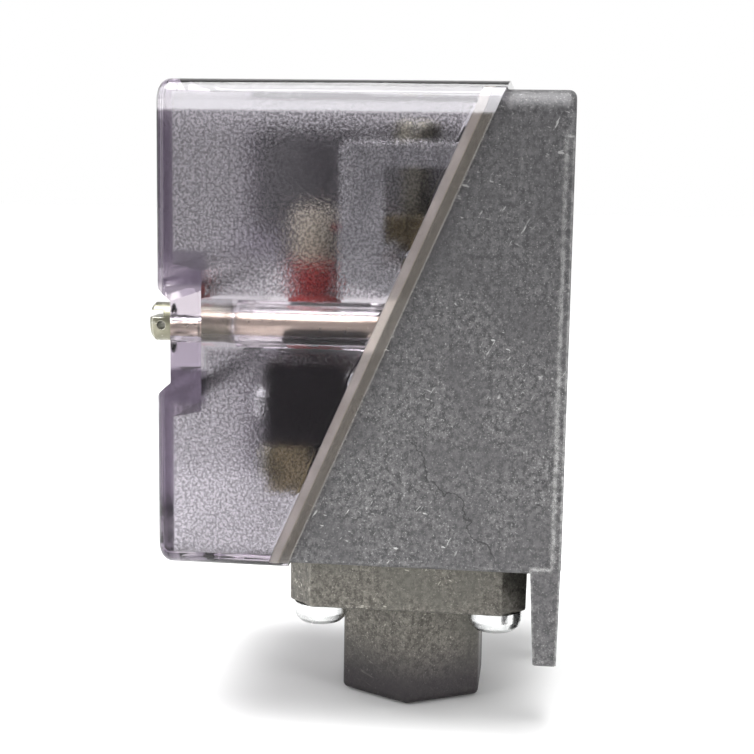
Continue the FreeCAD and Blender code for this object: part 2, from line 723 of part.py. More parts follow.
    # holes
    sketch = newSketch(body, "XY_Plane", "bodyBottom")
    ring(sketch, "0", "0", "chamberRadius")
    pocket(body, sketch, "plateRoom", reverse=True)
    sketch = newSketch(body, "XY_Plane", "bodyBottom")
    ring(sketch, "0", "0", "bushRadius")
    pocket(body, sketch, "20", reverse=True)
    sketch = newSketch(body, "XY_Plane", "bodyBottom")
    for sx, sy in ((1, 1), (1, -1), (-1, 1), (-1, -1)):
        ring(sketch, "%d * screwAt" % sx, "%d * screwAt" % sy, "flangeScrewRadius + threadGap")
    pocket(body, sketch, "floorThickness + screwBossHeight + 1", reverse=True)
    sketch = newSketch(body, "XY_Plane", "floorTop + earthBoss")
    ring(sketch, "earthX", "earthDepth", "coverScrewRadius + threadGap")
    pocket(body, sketch, "6")
    sketch = newSketch(body, "XZ_Plane", "postFace")
    ring(sketch, "0", "coverScrewHeight", "insertRadius")
    pocket(body, sketch, "insertLength")
    sketch = newSketch(body, "XZ_Plane", "postFace - insertLength + 0.5")
    ring(sketch, "0", "coverScrewHeight", "coverScrewRadius + 0.3")
    pocket(body, sketch, "6")
    sketch = newSketch(body, "XZ_Plane", "0 - frameBack")
    for sx in (1, -1):
        for height in ("frameScrewLow", "frameScrewHigh"):
            ring(sketch, "%d * frameScrewX" % sx, height, "coverScrewRadius + threadGap")
    pocket(body, sketch, "padHeight + wallBack - 0.8")
    sketch = newSketch(body, "XZ_Plane", "0 - innerBack")
    ring(sketch, "0", "mountHoleHeight", "mountHoleRadius")
    pocket(body, sketch, "wallBack + 1")
    sketch = newSketch(body, "YZ_Plane", "0 - innerHalf + 1")
    ring(sketch, "glandDepth", "glandHeight", "glandRadius + seatGap")
    pocket(body, sketch, "wallSide + 2")
    keep("housing", body)


# cover

def makeCover():
    body = newBody("cover")
    sketch = newSketch(body, "YZ_Plane")
    lip = "gasketThickness + lipOverlap"
    outline(sketch, [
        ("0 - coverFront", "coverBottom"),
        (seam("coverBottom", lip), "coverBottom"),
        (seam("coverTop", lip), "coverTop"),
        ("0 - coverFront", "coverTop"),
    ])
    pad(body, sketch, "coverHalf * 2", symmetric=True)
    soften(body, "Fillet", "coverRound",
           lambda edge: along(edge, AXIS_Y) and abs(edge.CenterOfMass.x) > 1)

    sketch = newSketch(body, "YZ_Plane")
    top = "coverScrewHeight + grooveHeight / 2"
    low = "coverScrewHeight - grooveHeight / 2"
    outline(sketch, [
        ("0 - coverFront - 1", low),
        ("0 - coverFront", low),
        ("grooveFloor", low + " + grooveFlare"),
        ("grooveFloor", top + " - grooveFlare"),
        ("0 - coverFront", top),
        ("0 - coverFront - 1", top),
    ])
    pocket(body, sketch, "coverHalf * 2 + 4", symmetric=True)
    front = number("0 - coverFront")
    soften(body, "Fillet", "frontRound",
           lambda edge: abs(edge.BoundBox.YMax - front) < 1e-3 and abs(edge.BoundBox.YMin - front) < 1e-3)

    # hollow, with a thicker band behind the groove
    inner = "coverInner"
    sketch = newSketch(body, "YZ_Plane")
    band = "coverScrewHeight + blockHeight / 2"
    under = "coverScrewHeight - blockHeight / 2"
    outline(sketch, [
        ("coverWall - coverFront", "coverBottom + coverWall"),
        (seam("coverBottom + coverWall", "8"), "coverBottom + coverWall"),
        (seam("coverTop - coverWall", "8"), "coverTop - coverWall"),
        ("coverWall - coverFront", "coverTop - coverWall"),
        ("coverWall - coverFront", band + " + 1.5"),
        ("blockFace", band + " + 0.5"),
        ("blockFace", under + " - 0.5"),
        ("coverWall - coverFront", under + " - 1.5"),
    ])
    pocket(body, sketch, inner + " * 2", symmetric=True)
    # room for the housing inside the lip
    sketch = newSketch(body, "YZ_Plane")
    outline(sketch, [
        (seam("bodyBottom - lipGap"), "bodyBottom - lipGap"),
        (seam("bodyBottom - lipGap", "9"), "bodyBottom - lipGap"),
        (seam("bodyTop + lipGap", "9"), "bodyTop + lipGap"),
        (seam("bodyTop + lipGap"), "bodyTop + lipGap"),
    ])
    pocket(body, sketch, "(bodyHalf + lipGap) * 2", symmetric=True)

    # the lower lip steps aside for the flange
    sketch = newSketch(body, "YZ_Plane")
    rectangle(sketch, "0 - flangeSide / 2 - lipGap * 2", "coverBottom - 1", "0", "bodyBottom - 0.1")
    pocket(body, sketch, "flangeSide + lipGap * 4", symmetric=True)

    # screw tube
    sketch = newSketch(body, "XZ_Plane", "tubeEnd")
    ring(sketch, "0", "coverScrewHeight", "tubeRadius")
    pad(body, sketch, "0 - blockFace - tubeEnd + 0.5")
    sketch = newSketch(body, "XZ_Plane", "0 - grooveFloor + 1")
    ring(sketch, "0", "coverScrewHeight", "tubeBore")
    pocket(body, sketch, "coverFront")
    keep("cover", body)


def makeGasket():
    body = newBody("cover_gasket")
    sketch = newSketch(body, "XZ_Plane", "0 - bodyBack")
    half = "bodyHalf - 0.2"
    low = "bodyBottom + 0.3"
    high = "bodyTop - 0.3"
    rectangle(sketch, "0 - (%s)" % half, low, half, high)
    pad(body, sketch, "bodyBack + coverFront")
    soften(body, "Fillet", "bodyRound - 0.2",
           lambda edge: along(edge, AXIS_Y) and near(edge.CenterOfMass.z, high))
    sketch = newSketch(body, "XZ_Plane", "0 - bodyBack - 1")
    rectangle(sketch, "0 - innerHalf - 0.3", "floorTop - 0.5", "innerHalf + 0.3", "innerTop + 0.3")
    pocket(body, sketch, "bodyBack + coverFront + 2", reverse=True)
    for near_side, far_side in (("0.05", "0 - 80"), ("gasketThickness - 0.05", "80")):
        sketch = newSketch(body, "YZ_Plane")
        outline(sketch, [
            (seam("bodyBottom - 5", near_side), "bodyBottom - 5"),
            (seam("bodyBottom - 5", far_side), "bodyBottom - 5"),
            (seam("bodyTop + 5", far_side), "bodyTop + 5"),
            (seam("bodyTop + 5", near_side), "bodyTop + 5"),
        ])
        pocket(body, sketch, "bodyWidth + 5", symmetric=True)
    keep("cover_gasket", body)


def makeCoverScrew():
    end = "coverScrewHeadLength"
    tip = "grooveFloor"
    reach = "coverScrewTip - (%s)" % tip
    profile = [
        ("0", "0 - (%s)" % reach),
        ("coverScrewRadius - 0.6", "0 - (%s)" % reach),
        ("coverScrewRadius", "0.6 - (%s)" % reach),
        ("coverScrewRadius", "0.05"),
        ("coverScrewHead", "0.05"),
        ("coverScrewHead", end + " - 0.5"),
        ("coverScrewHead - 0.5", end),
        ("0", end),
    ]
    spot = ("0", tip, "coverScrewHeight")
    blank = turned(profile, spot, "-Y")
    groove = slot("coverScrewHead + 1", end + " - 2.4", end + " + 1", "coverScrewSlot",
                  ("0", tip, "coverScrewHeight + 1.6"), "-Y")
    hole = rod("sealHoleRadius", "coverScrewHead * 2 + 2",
               ("0 - coverScrewHead - 1", tip + " - %s + sealHoleOffset" % end, "coverScrewHeight - 0.4"), "+X")
    keep("cover_screw", cut(blank, groove, hole))

    profile = [
        ("coverScrewRadius + 0.02", "0"),
        ("coverScrewRadius + 1.7", "0"),
        ("coverScrewRadius + 1.7", "clipThickness"),
        ("coverScrewRadius + 0.02", "clipThickness"),
    ]
    clip = turned(profile, ("0", "0 - tubeEnd + 0.65", "coverScrewHeight"), "-Y")
    keep("cover_screw_clip", clip)
    profile = [
        ("coverScrewRadius + threadGap", "0"),
        ("insertRadius - threadGap", "0"),
        ("insertRadius - threadGap", "insertLength - 0.1"),
        ("coverScrewRadius + threadGap", "insertLength - 0.1"),
    ]
    insert = turned(profile, ("0", "0 - postFace + insertLength - 0.05", "coverScrewHeight"), "-Y")
    keep("cover_screw_insert", insert)


# bracket

BRACKET_SCREWS = ("switchBottom + bracketScrewInset", "switchTop - bracketScrewInset")


def makeFrame():
    back = bar(("0 - frameHalf", "frameBack - sheet", "frameFoot"), ("frameHalf", "frameBack", "frameTop"))
    opening = bar(("0 - frameOpening", "frameBack - sheet - 1", "coverScrewHeight - openingBelow"),
                  ("frameOpening", "frameBack + 1", "mountHoleHeight + openingAbove"))
    holes = []
    for sx in (1, -1):
        for height in ("frameScrewLow", "frameScrewHigh"):
            holes.append(rod("coverScrewRadius + holeGap", "sheet + 2",
                             ("%d * frameScrewX" % sx, "frameBack - sheet - 1", height), "+Y"))
    spindleHole = rod("spindleRadius + 0.1", "sheet + 2", ("springX", "0", "frameTop - sheet - 1"))
    cheeks = []
    for sx in (1, -1):
        body = newBody("cheek%s" % ("Right" if sx > 0 else "Left"))
        inner = "cheekInner" if sx > 0 else "0 - frameHalf"
        sketch = newSketch(body, "YZ_Plane", inner)
        outline(sketch, [
            ("frameBack - 0.2", "frameFoot"),
            ("frameBack - cheekFoot", "frameFoot"),
            ("0 - cheekStep", "switchBottom + 0.9"),
            ("0 - cheekStep", "switchTop - 1.5"),
            ("0 - 1.5", "frameBase - 2"),
            ("0 - frameFront", "frameBase"),
            ("0 - frameFront", "frameTop"),
            ("frameBack - 0.2", "frameTop"),
        ])
        pad(body, sketch, "sheet")
        sketch = newSketch(body, "YZ_Plane", inner)
        rectangle(sketch, "0 - windowFront", "frameBase + windowMargin",
                  "windowBack", "frameTop - sheet - windowMargin")
        ring(sketch, "pinDepth", "leverMid", "pinRadius + 0.02")
        for height in BRACKET_SCREWS:
            ring(sketch, "0 - bracketScrewDepth", height, "smallScrewRadius + threadGap")
        pocket(body, sketch, "sheet * 3", symmetric=True)
        cheeks.append(body)
    top = bar(("0 - frameHalf", "0 - frameFront", "frameTop - sheet"), ("frameHalf", "frameBack - 0.2", "frameTop"))
    strip = bar(("frameHalf - stripWidth", "0 - frameFront", "frameBase + 0.2"),
                ("frameHalf - 0.1", "sheet - frameFront", "frameTop - 0.1"))
    strip2 = bar(("0 - frameHalf + 0.1", "0 - frameFront", "frameBase + 0.2"),
                 ("stripWidth - frameHalf", "sheet - frameFront", "frameTop - 0.1"))
    keep("bracket_frame", cut(join(back, cheeks[0], cheeks[1], top, strip, strip2),
                              opening, spindleHole, *holes))

    screws = []
    washers = []
    for sx in (1, -1):
        for height in ("frameScrewLow", "frameScrewHigh"):
            seat = "frameBack - sheet - washerThickness"
            screws.append(machineScrew("coverScrewRadius", "sheet + washerThickness + padHeight + wallBack - 1",
                                       "screwHead", "screwHeadHeight",
                                       ("%d * frameScrewX" % sx, seat, height), "-Y"))
            profile = [("coverScrewRadius + 0.1", "0"), ("padRadius - 0.5", "0"),
                       ("padRadius - 0.5", "washerThickness"), ("coverScrewRadius + 0.1", "washerThickness")]
            washers.append(turned(profile, ("%d * frameScrewX" % sx, "frameBack - sheet", height), "-Y"))
    keep("frame_screws", group(*screws))
    keep("frame_washers", group(*washers))


def makeSwitchBracket():
    out = "frameHalf"
    plate = bar(("0 - %s - sheet" % out, "0 - switchBack", "switchBottom + 0.7"),
                (out + " + sheet", "sheet - switchBack", "switchTop - 0.7"))
    parts = [plate]
    holes = []
    screws = []
    for sx in (1, -1):
        low, high = (out, out + " + sheet") if sx > 0 else ("0 - %s - sheet" % out, "0 - " + out)
        parts.append(bar((low, "0 - switchBack + 0.1", "switchBottom + 1.2"), (high, "0", "switchTop - 1.2")))
        for height in BRACKET_SCREWS:
            start = out + " - 1" if sx > 0 else "0 - %s - sheet - 1" % out
            holes.append(rod("smallScrewRadius + 0.05", "sheet + 2", (start, "0 - bracketScrewDepth", height), "+X"))
            seat = out + " + sheet" if sx > 0 else "0 - %s - sheet" % out
            screws.append(machineScrew("smallScrewRadius", "sheet * 2 + 0.2", "smallScrewHead",
                                       "smallScrewHeadHeight", (seat, "0 - bracketScrewDepth", height),
                                       "+X" if sx > 0 else "-X"))
    keep("bracket_screws", group(*screws))
    for sx in (1, -1):
        holes.append(rod("smallScrewRadius + threadGap", "sheet + 2",
                         ("%d * (switchWidth / 2 - switchScrewInset)" % sx, "0 - switchBack - 1",
                          "switchBottom + switchScrewRise"), "+Y"))
    keep("switch_bracket", cut(join(*parts), *holes))


# lever

def makeLever():
    plate = bar(("leverClearance - cheekInner", "0 - leverShoulder", "leverBottom"),
                ("cheekInner - leverClearance", "pinDepth", "leverTop"))
    nose = bar(("0 - leverNoseHalf", "0 - leverNose", "leverBottom"), ("leverNoseHalf", "1 - leverShoulder", "leverTop"))
    barrel = rod("barrelRadius", "leverWidth", ("0 - leverWidth / 2", "pinDepth", "leverMid"), "+X")
    bore = rod("pinRadius + runningGap", "leverWidth + 4", ("0 - leverWidth / 2 - 2", "pinDepth", "leverMid"), "+X")
    light = bar(("0 - cheekInner + 5", "5.5", "leverBottom - 1"), ("0 - 6", "pinDepth - 4.5", "leverTop + 1"))
    keep("lever", cut(join(plate, nose, barrel), bore, light))

    length = "frameWidth + 3"
    spot = ("0 - (%s) / 2" % length, "pinDepth", "leverMid")
    profile = [("0", "0"), ("pinRadius - 0.3", "0"), ("pinRadius", "0.3"), ("pinRadius", length + " - 0.3"),
               ("pinRadius - 0.3", length), ("0", length)]
    keep("lever_pin", turned(profile, spot, "+X"))
    clips = []
    for sx in (1, -1):
        start = "frameHalf + 0.1" if sx > 0 else "0 - frameHalf - 0.1 - clipThickness"
        profile = [("pinRadius + 0.01", "0"), ("pinRadius + 1.6", "0"), ("pinRadius + 1.6", "clipThickness"),
                   ("pinRadius + 0.01", "clipThickness")]
        clips.append(turned(profile, (start, "pinDepth", "leverMid"), "+X"))
    keep("pin_clips", group(*clips))


# range spring and its setting

def makeSpring(label, radius, wire, turns, low, high, x, y):
    """A round-wire compression spring with ground ends between two heights."""
    tall = number("(%s) - (%s)" % (high, low))
    pitch = tall / number(turns)
    coils = Part.makeHelix(pitch, tall + pitch, number(radius))
    section = Part.Wire(Part.makeCircle(number(wire), Vector(number(radius), 0, 0), AXIS_Y))
    solid = Part.Wire(coils).makePipeShell([section], True, True)
    solid.translate(Vector(0, 0, -pitch / 2))
    outer = number(radius) + number(wire) + 1
    keepIn = Part.makeCylinder(outer, tall)
    ground = solid.common(keepIn)
    thing = doc.addObject("Part::Feature", label)
    thing.Shape = ground.Solids[0] if len(ground.Solids) == 1 else ground
    thing.Placement = Placement(Vector(number(x), number(y), number(low)), Rotation())
    keep(label, thing)


def makeRange():
    seat = [
        ("0", "0"), ("seatRadius", "0"), ("seatRadius", "seatHeight"),
        ("springRadius - springWire - 0.15", "seatHeight"),
        ("springRadius - springWire - 0.15", "seatHeight + 2"),
        ("springRadius - springWire - 0.9", "seatHeight + 2.8"),
        ("0", "seatHeight + 2.8"),
    ]
    keep("spring_seat", turned(seat, ("springX", "0", "leverTop")))
    makeSpring("range_spring", "springRadius", "springWire", "springTurns",
               "leverTop + seatHeight", "nutBottom", "springX", "0")
    side = "nutWidth / 2"
    block = bar(("springX - " + side, "0 - " + side, "nutBottom"),
                ("cheekInner - 0.2", side, "nutBottom + nutHeight"))
    collar = rod("springRadius - springWire - 0.15", "1.6", ("springX", "0", "nutBottom - 1.6"))
    bore = rod("spindleRadius + 0.05", "nutHeight + 6", ("springX", "0", "nutBottom - 3"))
    keep("range_nut", cut(join(block, collar), bore))
    arm = bar(("springX - 1", "0.5 - pointerReach", "nutBottom + 1.6"), ("springX + 1", "0 - " + side, "nutBottom + 2.4"))
    tip = bar(("springX - 1", "0 - pointerReach", "nutBottom + 1.6"),
              ("frameHalf - 2.2", "0.6 - pointerReach", "nutBottom + 2.4"))
    keep("range_pointer", join(arm, tip))
    scale = bar(("frameHalf - stripWidth + 0.2", "0 - frameFront - scaleThickness", "frameBase + 1"),
                ("frameHalf - 0.3", "0 - frameFront", "frameTop - 1"))
    keep("scale_plate", scale)

    head = "frameTop + touchGap"
    blank = turned([
        ("0", "spindleEnd"), ("spindleRadius - 0.5", "spindleEnd"), ("spindleRadius", "spindleEnd + 0.5"),
        ("spindleRadius", head), ("spindleHead", head), ("spindleHead", head + " + 2.6"),
        ("spindleHead - 0.6", head + " + spindleHeadHeight"), ("0", head + " + spindleHeadHeight"),
    ], ("springX", "0", "0"))
    keep("setting_spindle", cut(blank, slot("6", "1.8", "6", "1.1", ("springX", "0", head), "+Z")))
    low = "frameTop - sheet - 0.15 - 0.7"
    keep("spindle_clip", turned([
        ("spindleRadius + 0.01", low), ("spindleRadius + 1.8", low),
        ("spindleRadius + 1.8", low + " + 0.7"), ("spindleRadius + 0.01", low + " + 0.7"),
    ], ("springX", "0", "0")))


# snap switch

def makeSwitch():
    half = "switchWidth / 2"
    cavity = half + " - switchEnd"
    inFront = "switchWall - switchFront"
    inBack = "0 - switchBack - switchWall"
    floor = "switchBottom + switchWall"
    shellTop = "switchTop - lidThickness"
    shell = bar(("0 - " + half, "0 - switchFront", "switchBottom"), (half, "0 - switchBack", shellTop))
    room = bar(("0 - (%s)" % cavity, inFront, floor), (cavity, inBack, shellTop + " + 1"))
    hole = rod("plungerRadius + runningGap", "switchWall + 2", ("0", "0 - plungerDepth", "switchBottom - 1"))
    tools = [room, hole]
    screws = []
    for sx in (1, -1):
        x = "%d * (%s - switchScrewInset)" % (sx, half)
        z = "switchBottom + switchScrewRise"
        tools.append(rod("smallScrewRadius + 0.1", "switchFront - switchBack + 2", (x, "0 - switchFront - 1", z), "+Y"))
        screws.append(machineScrew("smallScrewRadius", "switchFront - switchBack + sheet + 1", "switchScrewHead",
                                   "smallScrewHeadHeight", (x, "0 - switchFront", z), "-Y"))
    for index in (-1, 0, 1):
        x = "%d * terminalPitch" % index
        tools.append(bar((x + " - terminalWidth / 2 + 0.4", "0 - switchFront - 1", "switchBottom - 1"),
                         (x + " + terminalWidth / 2 - 0.4", "0.8 - switchFront", "switchBottom + 1.2")))
    keep("switch_case", cut(shell, *tools))
    keep("switch_screws", group(*screws))
    lid = bar(("0 - " + half, "0 - switchFront", shellTop), (half, "0 - switchBack", "switchTop"))
    keep("switch_lid", cut(lid, rod("knobShaft + runningGap", "lidThickness + 2",
                                    ("knobX", "0 - knobDepth", shellTop + " - 1"))))

    tipLow = "leverTop + touchGap"
    blade = "switchBottom + bladeRise"
    top = blade + " - 0.2 - touchGap"
    r = "plungerRadius"
    keep("switch_plunger", turned([
        ("0", tipLow), (r + " * 0.5", tipLow + " + 0.15"), (r + " * 0.85", tipLow + " + 0.5"), (r, tipLow + " + 1"),
        (r, floor + " + 0.2"), (r + " + 0.7", floor + " + 0.2"), (r + " + 0.7", floor + " + 0.9"),
        (r, floor + " + 0.9"), (r, top + " - 0.8"), (r + " * 0.7", top + " - 0.3"), (r + " * 0.3", top + " - 0.06"),
        ("0", top),
    ], ("0", "0 - plungerDepth", "0")))

    pivot = "1.5 - (%s)" % cavity
    tipX = cavity + " - 2.5"
    leaf = bar((pivot, "0 - plungerDepth - 1.5", blade + " - 0.2"), (tipX, "1.5 - plungerDepth", blade + " + 0.2"))
    buttons = rod("buttonRadius", "1.6", (tipX + " - 1.5", "0 - plungerDepth", blade + " - 0.8"))
    keep("contact_blade", join(leaf, buttons))
    lowContact = join(
        bar((tipX + " - 3", "0 - plungerDepth - 2", floor), (tipX, "1.4 - plungerDepth", floor + " + 1.2")),
        rod("buttonRadius", "0.5", (tipX + " - 1.5", "0 - plungerDepth", floor + " + 1.1")))
    highContact = join(
        bar((tipX + " - 3", "0 - plungerDepth - 4.5", blade + " + 3.7"), (tipX, "1.4 - plungerDepth", blade + " + 4.9")),
        bar((tipX + " - 3", "0 - plungerDepth - 4.5", floor), (tipX, "0 - plungerDepth - 3.3", blade + " + 4.8")),
        rod("buttonRadius", "0.5", (tipX + " - 1.5", "0 - plungerDepth", blade + " + 3.3")))
    keep("fixed_contacts", group(lowContact, highContact))
    anchor = bar((pivot + " - 1.3", "0 - plungerDepth - 1.5", floor), (pivot + " - 0.3", "1.5 - plungerDepth", blade + " + 2"))
    keep("blade_anchor", anchor)

    clamps = []
    clampScrews = []
    for index in (-1, 0, 1):
        x = "%d * terminalPitch" % index
        block = bar((x + " - terminalWidth / 2", "0.4 - switchFront", "switchBottom - terminalHeight"),
                    (x + " + terminalWidth / 2", "0.4 - switchFront + terminalDepth", "switchBottom"))
        wireHole = rod("1.7", "terminalHeight - 1.5", (x, "3.6 - switchFront", "switchBottom - terminalHeight - 1"))
        bore = rod("smallScrewRadius + threadGap", "4", (x, "0.3 - switchFront", "switchBottom - 3.6"), "+Y")
        clamps.append(cut(block, wireHole, bore))
        clampScrews.append(machineScrew("smallScrewRadius", "1.6", "smallScrewHead", "1.8",
                                        (x, "0.4 - switchFront", "switchBottom - 3.6"), "-Y"))
    keep("terminal_clamps", group(*clamps))
    keep("terminal_screws", group(*clampScrews))


KNOB_GRIPS = 18


def makeKnob():
    body = newBody("differential_knob")
    sketch = newSketch(body, "XY_Plane", "knobBottom")
    ring(sketch, "knobX", "0 - knobDepth", "knobRadius")
    pad(body, sketch, "knobHeight")
    soften(body, "Chamfer", "0.6", lambda edge: edge.Length > 20)
    sketch = newSketch(body, "XY_Plane", "knobBottom - 1")
    for index in range(KNOB_GRIPS):
        angle = 360.0 * index / KNOB_GRIPS
        ring(sketch, "knobX + (knobRadius + 0.25) * cos(%g)" % angle,
             "0 - knobDepth + (knobRadius + 0.25) * sin(%g)" % angle, "gripRadius")
    pocket(body, sketch, "knobHeight + 2", reverse=True)
    sketch = newSketch(body, "XY_Plane", "knobBottom - 1")
    ring(sketch, "knobX", "0 - knobDepth", "knobShaft + 0.01")
    pocket(body, sketch, "knobHeight + 2", reverse=True)
    keep("differential_knob", body)

    base = "knobBottom + knobHeight"
    keep("knob_shaft", turned([
        ("0", "switchTop - lidThickness - 2.5"), ("knobShaft - 0.3", "switchTop - lidThickness - 2.5"),
        ("knobShaft", "switchTop - lidThickness - 2.2"), ("knobShaft", base), ("0", base),
    ], ("knobX", "0 - knobDepth", "0")))
    blank = turned([
        ("0", base), ("dialRadius", base), ("dialRadius", base + " + dialHeight - 1.2"),
        ("dialRadius - 1.2", base + " + dialHeight"), ("0", base + " + dialHeight"),
    ], ("knobX", "0 - knobDepth", "0"))
    keep("dial_cap", cut(blank, slot("6", "dialHeight - 1.6", "dialHeight + 1", "1.2",
                                     ("knobX", "0 - knobDepth", base), "+Z")))


# earth terminal and gland

def makeEarth():
    seat = "floorTop + earthBoss"
    keep("earth_washer", turned([
        ("coverScrewRadius + 0.1", "0"), ("earthBoss - 0.1", "0"),
        ("earthBoss - 0.1", "washerThickness"), ("coverScrewRadius + 0.1", "washerThickness"),
    ], ("earthX", "earthDepth", seat)))
    keep("earth_screw", machineScrew("coverScrewRadius", "washerThickness + 5", "screwHead - 0.1", "screwHeadHeight",
                                     ("earthX", "earthDepth", seat + " + washerThickness"), "+Z"))


def makeGland():
    washer = "glandWasher"
    spot = ("glandFace", "glandDepth", "glandHeight")

    def hexPiece(label, start, length, flats):
        body = newBody(label)
        sketch = newSketch(body, "YZ_Plane", start)
        hexagon(sketch, "glandDepth", "glandHeight", flats)
        pad(body, sketch, length)
        return body

    keep("gland_washer", turned([
        ("glandRadius + 0.1", "0"), ("glandRadius + 2.2", "0"), ("glandRadius + 2.2", washer),
        ("glandRadius + 0.1", washer),
    ], spot, "-X"))

    body = hexPiece("gland_collar", "glandFace - %s - glandHex" % washer, "glandHex", "glandFlats")
    shank = turned([
        ("glandSeal + 1.6", "0 - wallSide - lockNut - 0.5"),
        ("glandRadius", "0 - wallSide - lockNut - 0.5"),
        ("glandRadius", "%s + 0.5" % washer),
        ("glandSeal + 1.6", "%s + 0.5" % washer),
    ], spot, "-X")
    neck = turned([
        ("glandSeal + 2.6", washer + " + glandHex - 0.5"),
        ("glandRadius - 0.6", washer + " + glandHex - 0.5"),
        ("glandRadius - 0.6", washer + " + glandHex + glandNeck"),
        ("glandSeal + 2.6", washer + " + glandHex + glandNeck"),
    ], spot, "-X")
    bore = rod("glandSeal + 1.6", "60", ("glandFace - 30", "glandDepth", "glandHeight"), "+X")
    keep("gland_body", cut(join(body, shank, neck), bore))

    body = hexPiece("gland_lock_nut", "0 - innerHalf", "lockNut", "glandFlats")
    sketch = newSketch(body, "YZ_Plane", "0 - innerHalf - 1")
    ring(sketch, "glandDepth", "glandHeight", "glandRadius + threadGap")
    pocket(body, sketch, "lockNut + 2", reverse=True)
    keep("gland_lock_nut", body)

    start = washer + " + glandHex + capGap"
    hexCap = hexPiece("gland_cap_hex", "glandFace - (%s) - capHex" % start, "capHex", "glandFlats")
    dome = turned([
        ("0", start + " + capHex - 0.5"),
        ("glandFlats / 2", start + " + capHex - 0.5"),
        ("glandFlats / 2 - 0.6", start + " + 9"),
        ("glandFlats / 2 - 2.2", start + " + 11.6"),
        ("glandFlats / 2 - 4.2", start + " + glandCap"),
        ("0", start + " + glandCap"),
    ], spot, "-X")
    hollow = turned([
        ("0", start + " - 1"),
        ("glandRadius - 0.55", start + " - 1"),
        ("glandRadius - 0.55", washer + " + glandHex + glandNeck + 0.3"),
        ("glandSeal + 1.2", washer + " + glandHex + glandNeck + 3"),
        ("glandSeal + 1.2", start + " + glandCap + 1"),
        ("0", start + " + glandCap + 1"),
    ], spot, "-X")
    keep("gland_cap", cut(join(hexCap, dome), hollow))
    keep("gland_seal", turned([
        ("glandSeal", start),
        ("glandSeal + sealWall", start),
        ("glandSeal + sealWall", washer + " + glandHex + glandNeck + 0.6"),
        ("glandSeal", washer + " + glandHex + glandNeck + 2.4"),
    ], spot, "-X"))


# build

makeFlange()
makeFlangeScrews()
makeDiaphragm()
makePressurePlate()
makeHousing()
makeCover()
makeGasket()
makeCoverScrew()
makeFrame()
makeSwitchBracket()
makeLever()
makeRange()
makeSwitch()
makeKnob()
makeEarth()
makeGland()

doc.recompute()
for thing in doc.Objects:
    if "Invalid" in thing.State or "Error" in thing.State:
        raise RuntimeError("%s failed: %s" % (thing.Name, thing.State))
os.makedirs("parts", exist_ok=True)
for node in nodes:
    shape = node.Shape
    if shape.isNull() or not shape.isValid():
        raise RuntimeError("%s has no valid shape" % node.Label)
    shape.exportStep(os.path.join("parts", node.Label + ".step"))
    print("%s: %d solid(s), %.1f mm3" % (node.Label, len(shape.Solids), shape.Volume))
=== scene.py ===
import json
import math
import bpy
from mathutils import Matrix, Vector

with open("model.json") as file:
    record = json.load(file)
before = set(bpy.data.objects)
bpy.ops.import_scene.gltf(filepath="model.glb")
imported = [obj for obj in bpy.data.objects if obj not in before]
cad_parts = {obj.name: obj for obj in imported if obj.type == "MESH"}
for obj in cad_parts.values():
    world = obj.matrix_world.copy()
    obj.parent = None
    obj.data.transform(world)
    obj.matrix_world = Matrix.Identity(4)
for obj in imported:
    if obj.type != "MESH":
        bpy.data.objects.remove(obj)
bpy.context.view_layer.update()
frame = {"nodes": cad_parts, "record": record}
nodes = frame["nodes"]
print("frame loaded")

mixSockets = {"share": 0, "first": 6, "second": 7, "result": 2}  # the colour sockets of a mix node
bevelLook = {"samples": 4, "fade": (0.995, 0.93)}  # how far the rounded normal turns at an edge


